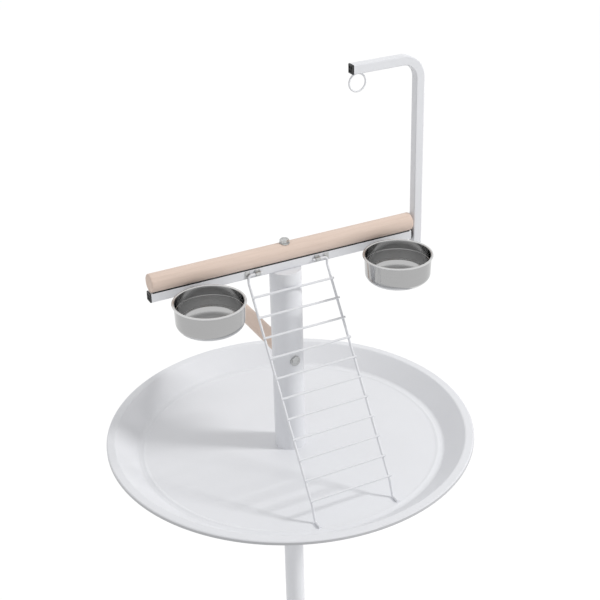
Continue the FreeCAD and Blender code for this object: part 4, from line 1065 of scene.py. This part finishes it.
def ring_bead(radius, bead, height, ripples):
    """A weld bead round a tube, with the scallops that each pass leaves."""
    deselect()
    bpy.ops.mesh.primitive_torus_add(major_radius=radius, minor_radius=bead, location=(0, 0, 0),
                                     major_segments=ripples * 6, minor_segments=12)
    piece = bpy.context.object
    for point in piece.data.vertices:
        angle = math.atan2(point.co.y, point.co.x)
        swell = 1.0 + SCALLOP * math.cos(ripples * angle)
        outward = Vector((math.cos(angle), math.sin(angle), 0)) * radius
        point.co = outward + (point.co - outward) * swell
    piece.data.transform(Matrix.Translation((0, 0, height)))
    return piece


def drop_bead(place, radius, stretch):
    """A small rounded weld, longer along one way."""
    deselect()
    bpy.ops.mesh.primitive_uv_sphere_add(segments=14, ring_count=8, radius=radius, location=place,
                                         scale=stretch)
    bpy.ops.object.transform_apply(location=True, rotation=True, scale=True)
    return bpy.context.object


class PLAYSTAND_OT_welds(bpy.types.Operator):
    """Model the weld beads under the powder coat"""

    bl_idname = "play_stand.welds"
    bl_label = "Weld beads"

    def execute(self, context):
        settle(join(self.pole_welds() + self.ring_welds() + self.plate_welds()),
               "stand_welds", "stand", "coat")
        settle(join(self.rung_welds()), "ladder_welds", "ladder", "coat")
        return {"FINISHED"}

    def pole_welds(self):
        """The beads under the tray's flange and on the socket's plate."""
        bead = sizes().bead
        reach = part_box("lower_pole")[1][0] + bead * BEAD_STANDOFF
        flange_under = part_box("tray_flange")[0][2]
        plate_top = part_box("pole_socket")[0][2] + SOCKET_PLATE
        return [
            ring_bead(reach, bead, flange_under + bead * 0.2, ripples=26),
            ring_bead(reach + SLEEVE_WALL, bead, plate_top + bead * 0.4, ripples=30),
        ]

    def ring_welds(self):
        """The welds that hold the toy ring under the hook's arm."""
        ring_x = middle_of("toy_ring").x
        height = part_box("hook_post")[1][2] - SMALL_TUBE - RING_WELD_DROP
        return [
            drop_bead((ring_x, side * RING_WELD_SIDE, height), RING_WELD_RADIUS, (2.6, 0.7, 0.7))
            for side in (-1, 1)
        ]

    def plate_welds(self):
        """The welds above and below the hinge sleeves and their stop plates."""
        low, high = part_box("ladder_knuckles")
        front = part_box("crossbar")[0][1] - PLATE_WELD_PROUD
        stop = high[0] - PLATE_WIDTH / 2
        return [
            drop_bead((x, front, z), PLATE_WELD_RADIUS, (4.0, 0.8, 0.7))
            for x in (-stop, KNUCKLE_INSET - stop, stop - KNUCKLE_INSET, stop)
            for z in (low[2], high[2])
        ]

    def rung_welds(self):
        """The tack welds under the ends of the ladder's rungs."""
        rail_x = abs(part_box("ladder_rail_left")[0][0]) - RAIL_RADIUS
        under = LADDER_UNDERSIDE * RAIL_RADIUS * TACK_SINK
        parts = []
        for index in range(1, RUNG_COUNT + 1):
            rung = middle_of("ladder_rung_%02d" % index)
            for side in (-1, 1):
                place = rung + Vector((side * rail_x, 0, 0)) + under
                parts.append(drop_bead(place, sizes().tack, (1.9, 1.0, 1.0)))
        return parts


# --- Stage ---------------------------------------------------------------------------------------

FLOOR_SPAN = 60.0
FLOOR_GLOW = 1.06
FLOOR_GLOW_SHARE = 0.88
LAMP_DISTANCE = 6.0
LAMP_AIM = Vector((0, 0, 0.9))

# How much brighter the soft light gets along each way
FILL_LEAN = (-0.07, 0.28, 0.03)


def seen_rays(tree):
    """1 for rays from the camera, from a gloss or through glass, 0 for the light on surfaces."""
    path = add_node(tree, "ShaderNodeLightPath")
    direct = combine(tree, "MAXIMUM", path.outputs["Is Camera Ray"], path.outputs["Is Glossy Ray"])
    return combine(tree, "MAXIMUM", direct, path.outputs["Is Transmission Ray"])


class PLAYSTAND_OT_stage(bpy.types.Operator):
    """Set the pale floor, the soft studio light and the camera"""

    bl_idname = "play_stand.stage"
    bl_label = "Stage"

    def execute(self, context):
        self.floor()
        self.world(context.scene)
        self.lamp()
        self.camera(context.scene)
        context.scene.view_settings.view_transform = "Standard"
        return {"FINISHED"}

    def floor(self):
        """A plain plane that glows for seen rays, so that only the object's shadow tints it."""
        deselect()
        bpy.ops.mesh.primitive_plane_add(size=FLOOR_SPAN, location=(0, 0, 0))
        plane = bpy.context.object
        plane.name = "Floor"
        paint, tree, shader = new_material("Pale floor")
        shader.inputs["Base Color"].default_value = (0.88, 0.88, 0.88, 1)
        shader.inputs["Roughness"].default_value = 0.9
        shader.inputs["Specular IOR Level"].default_value = 0.1
        glow = add_node(tree, "ShaderNodeEmission", {"Color": (1, 1, 1, 1), "Strength": FLOOR_GLOW})
        mix = add_node(tree, "ShaderNodeMixShader", {
            "Fac": combine(tree, "MULTIPLY", seen_rays(tree), FLOOR_GLOW_SHARE),
            1: shader.outputs["BSDF"],
            2: glow.outputs["Emission"],
        })
        tree.links.new(mix.outputs["Shader"], tree.nodes["Material Output"].inputs["Surface"])
        plane.data.materials.append(paint)

    def world(self, scene):
        """White for seen rays, and a soft light that leans to the back for the surfaces."""
        world = bpy.data.worlds.new("Studio")
        world.use_nodes = True
        scene.world = world
        tree = world.node_tree
        background = tree.nodes["Background"]
        background.inputs["Color"].default_value = (1.0, 1.0, 1.0, 1.0)
        fill = stage_settings().fill
        way = add_node(tree, "ShaderNodeTexCoord").outputs["Generated"]
        lean = add_node(tree, "ShaderNodeVectorMath", {0: way, 1: FILL_LEAN}, operation="DOT_PRODUCT")
        soft = add_node(tree, "ShaderNodeMath", {
            0: lean.outputs["Value"],
            1: fill,
            2: fill,
        }, operation="MULTIPLY_ADD")
        strength = map_range(tree, seen_rays(tree), soft.outputs[0], 1.0, from_low=0.0, from_high=1.0)
        tree.links.new(strength, background.inputs["Strength"])

    def lamp(self):
        """One soft lamp on the right and a little in front, as the tray's shadows show."""
        view = stage_settings()
        level = math.cos(view.key_elevation)
        towards = Vector((math.cos(view.key_azimuth) * level, -math.sin(view.key_azimuth) * level,
                          math.sin(view.key_elevation)))
        data = bpy.data.lights.new("Key", "AREA")
        data.shape = "DISK"
        data.size = view.key_width
        data.energy = view.key_power
        data.color = (1.0, 0.995, 0.985)
        lamp = bpy.data.objects.new("Key", data)
        bpy.context.collection.objects.link(lamp)
        lamp.location = LAMP_AIM + towards * LAMP_DISTANCE
        lamp.visible_glossy = False
        lamp.rotation_mode = "QUATERNION"
        lamp.rotation_quaternion = towards.to_track_quat("Z", "Y")

    def camera(self, scene):
        """The photograph's view, set by the camera's place and its three angles."""
        view = stage_settings()
        data = bpy.data.cameras.new("Photo view")
        data.sensor_width = 36.0
        data.lens = view.lens
        camera = bpy.data.objects.new("Photo view", data)
        bpy.context.collection.objects.link(camera)
        turn, rise, lean = view.azimuth, view.elevation, view.roll
        ahead = Vector((math.sin(turn) * math.cos(rise), math.cos(turn) * math.cos(rise), -math.sin(rise)))
        level = Vector((math.cos(turn), -math.sin(turn), 0))
        upward = level.cross(ahead)
        right = level * math.cos(lean) + upward * math.sin(lean)
        top = upward * math.cos(lean) - level * math.sin(lean)
        axes = Matrix((right, top, -ahead)).transposed().to_4x4()
        camera.matrix_world = Matrix.Translation(Vector(view.position)) @ axes
        scene.camera = camera


class PLAYSTAND_PT_panel(bpy.types.Panel):
    """Lists the steps that dress the stand, and their settings"""

    bl_idname = "PLAYSTAND_PT_panel"
    bl_label = "Play Stand"
    bl_space_type = "VIEW_3D"
    bl_region_type = "UI"
    bl_category = "Play Stand"

    def draw(self, context):
        for step in STEPS:
            self.layout.operator(step.bl_idname)
        for group in (colours(), sizes(), stage_settings()):
            box = self.layout.box()
            for name in group.__annotations__:
                box.prop(group, name)


STEPS = (
    PLAYSTAND_OT_finishes,
    PLAYSTAND_OT_bolts,
    PLAYSTAND_OT_plugs,
    PLAYSTAND_OT_painted_shade_strips,
    PLAYSTAND_OT_cup_steps,
    PLAYSTAND_OT_screws,
    PLAYSTAND_OT_wheels,
    PLAYSTAND_OT_welds,
    PLAYSTAND_OT_stage,
)
CLASSES = (PlayStandColours, PlayStandSizes, PlayStandStage, *STEPS, PLAYSTAND_PT_panel)


def register():
    for item in CLASSES:
        bpy.utils.register_class(item)
    bpy.types.Scene.play_stand_colours = bpy.props.PointerProperty(type=PlayStandColours)
    bpy.types.Scene.play_stand_sizes = bpy.props.PointerProperty(type=PlayStandSizes)
    bpy.types.Scene.play_stand_stage = bpy.props.PointerProperty(type=PlayStandStage)


def unregister():
    del bpy.types.Scene.play_stand_stage
    del bpy.types.Scene.play_stand_sizes
    del bpy.types.Scene.play_stand_colours
    for item in reversed(CLASSES):
        bpy.utils.unregister_class(item)


def main():
    register()
    bpy.ops.play_stand.finishes()
    bpy.ops.play_stand.bolts()
    bpy.ops.play_stand.plugs()
    bpy.ops.play_stand.seat_strips()
    bpy.ops.play_stand.cup_steps()
    bpy.ops.play_stand.screws()
    bpy.ops.play_stand.wheels()
    bpy.ops.play_stand.welds()
    bpy.ops.play_stand.stage()


if __name__ == "__main__":
    main()
